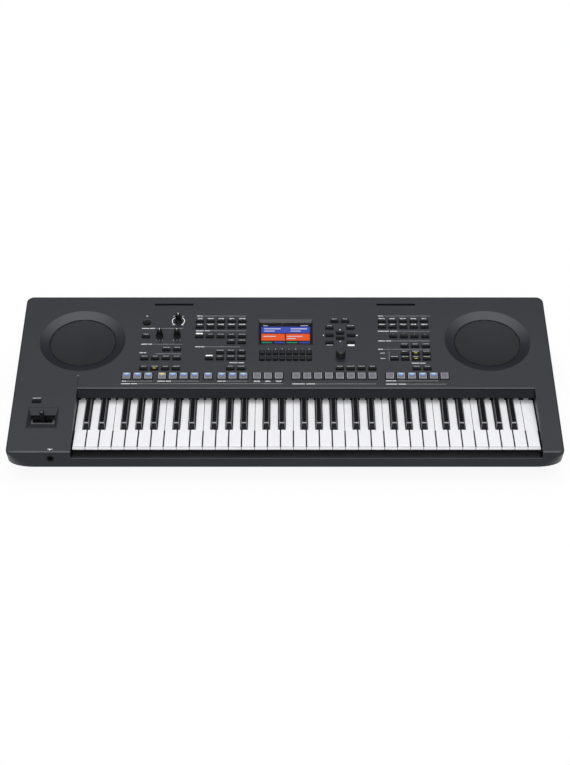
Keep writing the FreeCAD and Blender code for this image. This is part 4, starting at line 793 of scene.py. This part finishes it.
# A bar behind the joystick's button, and the tick on the line at the key bay.
bay_marks = np.array(((-457.5, 133.8), (-386.2, 191.6))) * mm
bay_mark_widths = np.array((15.0, 1.6)) * mm
printed.append(bars(bay_marks, bay_mark_widths, label_height))
# Three controls have a filled white block beside the cap, and the front jack a bar with a short stem.
# A black line runs up from the corner of the key bay.
block_places = np.array(((-163.4, 304.4), (-143.1, 244.8), (125.5, 273.0))) * mm
block_size = np.array((12.8, 4.0)) * mm
jack_sign = np.array(((-422.2, 6.6), (-422.2, 5.2))) * mm
jack_sign_widths = np.array((9.0, 2.0)) * mm
bay_line = np.array(((-385.6, 176.0),)) * mm
bay_line_size = np.array((0.7, 30.0)) * mm
blocks = [bars(block_places, *block_size), bars(jack_sign, jack_sign_widths, label_height)]


def inked(name, dark, light, roughness=(0.5, 0.6), **values):
    """Material of a thin, even film of ink."""
    return grained(name, dark, light, roughness, grain=1.0 * mm, depth=0.002 * mm, **values)


ink_grey = inked("print_ink", dark=(186, 186, 191), light=(198, 198, 203))
ink_white = inked("white_ink", dark=(228, 228, 230), light=(238, 238, 240))
# Black ink prints the line at the key bay, and also paints the shade round the pads.
ink_and_shade_black = inked(
    "black_ink_and_shade", dark=(12, 12, 13), light=(17, 17, 18), roughness=(0.4, 0.5), specular_ior_level=0.1,
)
for name, rectangles, finish in (
    ("panel_print", np.concatenate(printed), ink_grey),
    ("panel_blocks", np.concatenate(blocks), ink_white),
    ("split_line", bars(bay_line, *bay_line_size), ink_and_shade_black),
):
    patches(name, rectangles, ink_rise, ink_depth, "case", "case_plastic", finish)


def grid_faces(rows, columns):
    """Quads of a grid whose points are counted row by row, each turning left from its first corner."""
    line, column = np.meshgrid(np.arange(rows - 1), np.arange(columns - 1), indexing="ij")
    corner = (line * columns + column).reshape(-1)
    return np.stack((corner, corner + 1, corner + columns + 1, corner + columns), -1)


def arc_band(middle, radius, width, start, end, steps):
    """Flat band along a circle between two angles: an outer and an inner row of points, quads between."""
    angle = np.radians(np.linspace(start, end, steps))
    reach = np.array((radius + width / 2, radius - width / 2))[:, None]
    points = on_panel(middle[0] + reach * np.cos(angle), middle[1] + reach * np.sin(angle), ink_rise)
    return points.reshape(-1, 3), grid_faces(2, steps)


def pointers(middles, turns, size):
    """Small triangles: three points at equal angles round each middle, turned by its own angle."""
    angle = np.radians(np.asarray(turns)[:, None] + np.array((0, 120, 240)))
    points = on_panel(middles[:, :1] + size * np.cos(angle), middles[:, 1:] + size * np.sin(angle), ink_rise)
    return points, np.arange(points.size // 3).reshape(-1, 3)


volume_middle = np.array((-205.0, 338.9)) * mm
volume_arc = dict(radius=11.8 * mm, width=1.3 * mm, steps=24)
standby_middle = np.array((-265.3, 353.5)) * mm
standby_arc = dict(radius=1.4 * mm, width=0.6 * mm, steps=16)
pointer_places = np.array(((105.2, 315.0), (105.2, 283.4), (73.3, 299.8), (137.1, 299.8))) * mm
pointer_turns = (90, 270, 180, 0)
pointer_radius = 1.7 * mm
knob_signs = joined([
    arc_band(volume_middle, start=124, end=238, **volume_arc),
    arc_band(volume_middle, start=-58, end=56, **volume_arc),
    arc_band(standby_middle, start=130, end=410, **standby_arc),
])
for name, sign in (
    ("panel_signs", knob_signs),
    ("cursor_pointers", pointers(pointer_places, pointer_turns, pointer_radius)),
):
    thicken(new_piece(name, *sign, "case", "case_plastic", ink_white), ink_depth)
numeral_height = 2.4 * mm
numeral_height_share = 0.7
display_numeral_lift = 9.6 * mm


def numerals(name, middles, height, rise, body, slot, finish):
    """The numbers from 1 on, one at each middle: the built-in typeface as flat mesh, laid on the panel."""
    parts = []
    for number, middle in enumerate(middles, 1):
        text = bpy.data.curves.new("numeral", "FONT")
        text.body = str(number)
        text.size = height / numeral_height_share
        text.align_x = "CENTER"
        text.align_y = "CENTER"
        holder = bpy.data.objects.new("numeral", text)
        mesh = bpy.data.meshes.new_from_object(holder)
        mesh.calc_loop_triangles()
        corners = np.empty(len(mesh.loop_triangles) * 3, np.int32)
        mesh.loop_triangles.foreach_get("vertices", corners)
        flat = mesh_points(mesh)
        parts.append((on_panel(middle[0] + flat[:, 0], middle[1] + flat[:, 1], rise), corners.reshape(-1, 3)))
        bpy.data.objects.remove(holder)
        bpy.data.curves.remove(text)
        bpy.data.meshes.remove(mesh)
    thicken(new_piece(name, *joined(parts), body, slot, finish), ink_depth)


display_caps = caps("display_buttons", square_size)
display_high = display_caps[display_caps[:, 1] > display_caps[:, 1].mean()]
for name, middles in (
    ("display_numerals", display_high + (0, display_numeral_lift)),
    ("one_touch_numerals", caps("one_touch_buttons", button_size) + (0, button_label_lift)),
):
    numerals(name, middles, numeral_height, ink_rise, "case", "case_plastic", ink_white)

# Rear print: the same grey ink on the rear wall, laid on with a pad before the boards go in.
# It is a bar above each socket and a line that joins each pair of jacks.
wall_ink_rise = 0.01 * mm
wall_line_width = 1.2 * mm
socket_bar_height = 63.0 * mm
socket_columns = np.array((-200.0, -166.0, -132.0, -98.0, -64.0, -22.0, 18.0, 62.0)) * mm
socket_bar_widths = np.array((9.0, 9.0, 11.0, 11.0, 8.0, 10.0, 12.0, 9.0)) * mm
pair_line_height = 67.0 * mm
pair_columns = np.array((-183.0, -115.0)) * mm
pair_line_widths = np.array((44.0, 44.0)) * mm
wall_x = np.concatenate((socket_columns, pair_columns))
wall_z = np.repeat((socket_bar_height, pair_line_height), (len(socket_columns), len(pair_columns)))
wall_widths = np.concatenate((socket_bar_widths, pair_line_widths))
# Each bar is four corners round its middle, in the order that faces backwards.
corner_signs = np.array(((1, -1), (-1, -1), (-1, 1), (1, 1))) / 2
wall_points = np.stack(np.broadcast_arrays(
    wall_x[:, None] + wall_widths[:, None] * corner_signs[:, 0],
    cad_box[1][1] + wall_ink_rise,
    wall_z[:, None] + wall_line_width * corner_signs[:, 1],
), -1)
wall_faces = np.arange(wall_points.size // 3).reshape(-1, 4)
thicken(new_piece("rear_print", wall_points, wall_faces, "case", "case_plastic", ink_grey), ink_depth)

# Push buttons: caps moulded in black plastic, each with a hollow top for the finger and a flange below.
# Some carry a small lens over a light, and three of those lights are on.
# Each square cap carries a lighter plate on its top, painted light where the tops catch the light, against
# their darker edges.
square_light_margin = 2.6 * mm
square_light_rise = 0.02 * mm
square_light_depth = 0.3 * mm
lens_size = np.array((5.6, 1.3)) * mm
lens_crown = 0.04 * mm
lens_rise = 1.96 * mm
lens_depth = 0.3 * mm
lens_columns = 7
lens_rows = 6
glow_power = 1.3
glow_side_loss = 0.5
same_line = 1.0 * mm
lit_left_button = 1
lit_part_column = 2
button_plastic = grained(
    "button_plastic", dark=(13, 13, 14), light=(18, 18, 20), roughness=(0.3, 0.42),
    grain=0.6 * mm, depth=0.01 * mm, cloud=60.0, specular_ior_level=0.18,
)
dress(
    button_plastic, "left_buttons", "style_buttons", "song_buttons", "function_buttons", "cursor_buttons",
    "bank_buttons", "voice_buttons", "one_touch_buttons", "effect_buttons", "part_buttons", "hold_button",
    "standby_button",
)
dress(grained(
    "square_plastic", dark=(10, 10, 11), light=(14, 14, 15), roughness=(0.36, 0.46),
    grain=0.6 * mm, depth=0.01 * mm, cloud=60.0, specular_ior_level=0.12,
), "display_buttons")
# The lighter plate on each square cap is painted light on the top that faces the light.
square_top_light = grained(
    "square_top_light", dark=(27, 27, 31), light=(33, 33, 37), roughness=(0.4, 0.5),
    grain=0.6 * mm, depth=0.01 * mm, specular_ior_level=0.24,
)
square_top = node_in_panel("display_buttons")[:, 2].max()
patches(
    "square_light_plates", bars(display_caps, *(square_size - square_light_margin)), square_top + square_light_rise, square_light_depth,
    "display_buttons", "button_plastic", square_top_light,
)
glow = lit("lens_glow", roughness=0.25)


def lenses(name, middles, size, taper, crown, rise, low_colours, high_colours, body, slot):
    """Crowned lenses: a grid over each, narrowing towards the low side by the taper, whose height falls from
    the crown to the edge with the fourth power both ways. The high colour grows with the way up to the glow's
    power, and falls off sideways with the square of the distance."""
    across, up = np.meshgrid(np.linspace(-1, 1, lens_columns), np.linspace(0, 1, lens_rows))
    half = size[0] / 2 * (1 - taper * (1 - up))
    bulge = crown * (1 - across ** 4) * (1 - (2 * up - 1) ** 4)
    x = middles[:, 0, None, None] + across * half
    row = middles[:, 1, None, None] + (up - 0.5) * size[1]
    starts = across.size * np.arange(len(middles))[:, None, None]
    faces = (grid_faces(lens_rows, lens_columns)[None] + starts).reshape(-1, 4)
    piece = new_piece(name, on_panel(x, row, rise + bulge), faces, body, slot, glow)
    fade = (up ** glow_power * (1 - glow_side_loss * across ** 2))[None, :, :, None]
    low, high = (np.asarray(colours)[:, None, None] for colours in (low_colours, high_colours))
    shades = (low * (1 - fade) + high * fade).reshape(-1, 4)
    tint(piece, shades[faces.reshape(-1)])
    thicken(piece, lens_depth)


lens_on, lens_off = shown(232, 222, 70), shown(34, 12, 12)
left_caps = caps("left_buttons", button_size)
left_low = left_caps[left_caps[:, 1] < left_caps[:, 1].min() + same_line]
part_caps = caps("part_buttons", button_size)
part_high = part_caps[part_caps[:, 1] > part_caps[:, 1].min() + same_line]
lit_x = np.unique(np.round(part_high[:, 0], 4))[lit_part_column]
for name, middles, on, body in (
    ("left_lenses", left_low, np.arange(len(left_low)) == lit_left_button, "left_buttons"),
    ("part_lenses", part_high, np.abs(part_high[:, 0] - lit_x) < same_line, "part_buttons"),
):
    colours = np.where(on[:, None], lens_on, lens_off)
    lenses(name, middles, lens_size, 0.0, lens_crown, lens_rise, colours, colours, body, "button_plastic")

# Pads: larger caps painted silver, with a painted highlight round the edge, in one long row above the keys.
# Those of two groups have a clear window towards the rear with coloured lights below it, brightest at the
# top; the numbered ones are plain.
surround_gap = 0.9 * mm
surround_reach = 4.4 * mm
surround_rise = 0.15 * mm
surround_depth = 0.2 * mm
edge_inner_margin = 2.2 * mm
edge_outer_margin = 0.2 * mm
edge_rise = 0.03 * mm
edge_depth = 0.05 * mm
pad_window_size = np.array((11.4, 8.0)) * mm
pad_window_lift = 2.6 * mm
pad_window_taper = 0.35
pad_window_crown = 0.12 * mm
pad_window_rise = 0.02 * mm
style_pads_with_window = slice(0, 11)
multi_pads_with_window = slice(1, 5)
gold_window = 3
pad_numeral_height = 4.2 * mm
dress(grained(
    "pad_paint", dark=(99, 100, 107), light=(110, 111, 118), roughness=(0.34, 0.46),
    grain=0.5 * mm, depth=0.01 * mm, metallic=0.25,
), "style_pads", "registration_pads", "multi_pads")
# The lighter ring near each pad's edge is a painted highlight, where the bevel catches the light.
edge_highlight = grained(
    "pad_edge_highlight", dark=(146, 146, 153), light=(158, 158, 165), roughness=(0.3, 0.4),
    grain=0.5 * mm, depth=0.01 * mm, metallic=0.25,
)
pad_ink = inked("pad_ink", dark=(70, 70, 78), light=(80, 80, 88))
pad_top = node_in_panel("style_pads")[:, 2].max()
registration_pads = caps("registration_pads", pad_size)
multi_pads = caps("multi_pads", pad_size)
# A black frame round each pad is painted shade for the gap the pad sits in.
frames(
    "pad_gap_shades", np.concatenate((style_pads, registration_pads, multi_pads)), pad_size + surround_gap,
    pad_size + surround_reach, surround_rise, surround_depth, "case", "case_plastic", ink_and_shade_black,
)
for group, middles in (("style", style_pads), ("registration", registration_pads), ("multi", multi_pads)):
    frames(
        f"{group}_pad_edges", middles, pad_size - edge_inner_margin, pad_size - edge_outer_margin,
        pad_top + edge_rise, edge_depth, f"{group}_pads", "pad_plastic", edge_highlight,
    )
blue_low, blue_high = shown(92, 92, 168), shown(190, 240, 255)
gold_low, gold_high = shown(116, 108, 140), shown(246, 244, 120)
style_lit = style_pads[style_pads_with_window]
multi_lit = multi_pads[multi_pads_with_window]
for name, middles, gold, body in (
    ("style_windows", style_lit, np.arange(len(style_lit)) == gold_window, "style_pads"),
    ("multi_windows", multi_lit, np.zeros(len(multi_lit), bool), "multi_pads"),
):
    low_colours = np.where(gold[:, None], gold_low, blue_low)
    high_colours = np.where(gold[:, None], gold_high, blue_high)
    lenses(
        name, middles + (0, pad_window_lift), pad_window_size, pad_window_taper, pad_window_crown,
        pad_top + pad_window_rise, low_colours, high_colours, body, "pad_plastic",
    )
numerals(
    "pad_numerals", registration_pads, pad_numeral_height, pad_top + ink_rise, "registration_pads",
    "pad_plastic", pad_ink,
)

# Knobs: turned caps of black plastic pressed on the shafts, each with white ink in its pointer groove.
# The data dial is a plain drum with a dimple for one fingertip.
groove_size = np.array((1.1, 3.6)) * mm
groove_from_axis = 2.4 * mm
groove_sink = 0.1 * mm
groove_depth = 0.6 * mm
groove_round = 0.08 * mm
pointed_knobs = ("volume_knob", "live_knob_1", "live_knob_2")
dress(grained(
    "knob_plastic", dark=(12, 12, 13), light=(17, 17, 18), roughness=(0.36, 0.48),
    grain=0.6 * mm, depth=0.02 * mm, cloud=60.0, specular_ior_level=0.2,
), *pointed_knobs)
dress(grained(
    "dial_plastic", dark=(24, 24, 26), light=(30, 30, 32), roughness=(0.4, 0.5),
    grain=0.7 * mm, depth=0.02 * mm, cloud=60.0,
), "data_dial")
inlay_white = inked("inlay_white", dark=(236, 236, 236), light=(244, 244, 244), roughness=(0.4, 0.5))
for knob in pointed_knobs:
    points = node_in_panel(knob)
    groove = middle_of(points[:, :2]) + (0, groove_from_axis)
    inlay = patches(
        f"{knob}_pointer", bars(groove[None], *groove_size), points[:, 2].max() - groove_sink, groove_depth,
        knob, "knob_plastic", inlay_white,
    )
    bevel = inlay.modifiers.new("soft_edge", "BEVEL")
    bevel.width = groove_round
    bevel.segments = 2

# Floor: a wide white sheet under the feet that curves up at its edges, as in a studio.
# It is flat as far as its flat reach, then rises with the square of the way to its edge. To the camera, in
# reflections and through the window it shows nearly white.
floor_reach = 40.0
flat_reach = 28.0
edge_height = 9.0
floor_count = 33
floor_drop = 0.5 * mm
floor_grey = 0.82
floor_glow_share = 0.9
floor_steps = np.linspace(-floor_reach, floor_reach, floor_count)
floor_x, floor_y = np.meshgrid(floor_steps, floor_steps)
from_middle = np.maximum(np.abs(floor_x), np.abs(floor_y))
outward = np.maximum(from_middle - flat_reach, 0) / (floor_reach - flat_reach)
floor_points = np.stack((floor_x, floor_y, edge_height * outward ** 2 - floor_drop), -1)
floor_paint = plain("floor_paint", base_color=(floor_grey, floor_grey, floor_grey, 1.0), roughness=0.9)
floor_tree = floor_paint.node_tree
path = floor_tree.nodes.new("ShaderNodeLightPath").outputs
seen = path["Is Camera Ray"]
for ray in ("Is Glossy Ray", "Is Transmission Ray"):
    seen = reckoned(floor_tree, "MAXIMUM", seen, path[ray])
floor_mix = floor_tree.nodes.new("ShaderNodeMixShader")
give(floor_mix.inputs[0], reckoned(floor_tree, "MULTIPLY", seen, floor_glow_share))
give(floor_mix.inputs[1], shader_of(floor_paint).outputs[0])
give(floor_mix.inputs[2], floor_tree.nodes.new("ShaderNodeEmission").outputs[0])
feed(floor_tree.nodes["Material Output"], surface=floor_mix.outputs[0])
floor = meshed("floor", floor_points, grid_faces(floor_count, floor_count), floor_paint)

# Light: a broad soft light overhead that leans a little forward, and a softer lamp from the front.
# The overhead light is the brightest part of the world, which falls to a faint grey towards the sides.
light_tilt = math.radians(5)
light_edge_cosine = 0.69
light_core_cosine = 0.95
light_edge_strength = 0.15
light_core_strength = 2.35
fill_strength = 1.6
fill_spread = math.radians(30)
fill_tilt = math.radians(50)
world = bpy.data.worlds.new("studio")
world.use_nodes = True
sky_tree = world.node_tree
sky_way = sky_tree.nodes.new("ShaderNodeTexCoord").outputs["Generated"]
light_way = (0.0, -math.sin(light_tilt), math.cos(light_tilt))
sky_strength = ranged(
    sky_tree, value=dotted(sky_tree, sky_way, light_way), from_min=light_edge_cosine,
    from_max=light_core_cosine, to_min=light_edge_strength, to_max=light_core_strength,
)
feed(sky_tree.nodes["Background"], strength=sky_strength, color=(1.0, 1.0, 1.0, 1.0))
bpy.context.scene.world = world
fill = bpy.data.lights.new("front_fill", "SUN")
fill.energy = fill_strength
fill.angle = fill_spread
put("front_fill", fill).rotation_euler = (fill_tilt, 0.0, 0.0)

# Camera: it stands in front and above with a long lens, as the photograph was taken.
# Its place is given from the front of the case and from the ground.
camera_lens = 85.65
camera_sensor = 36.0
camera_from_front = 2.5526
camera_height = 2.104
camera_tilt = math.radians(53.6)
camera = bpy.data.cameras.new("camera")
camera.lens = camera_lens
camera.sensor_width = camera_sensor
camera_stand = put("camera", camera)
camera_stand.location = (0.0, cad_box[0][1] - camera_from_front, camera_height)
camera_stand.rotation_euler = (camera_tilt, 0.0, 0.0)
bpy.context.scene.camera = camera_stand
bpy.context.scene.view_settings.view_transform = "Standard"
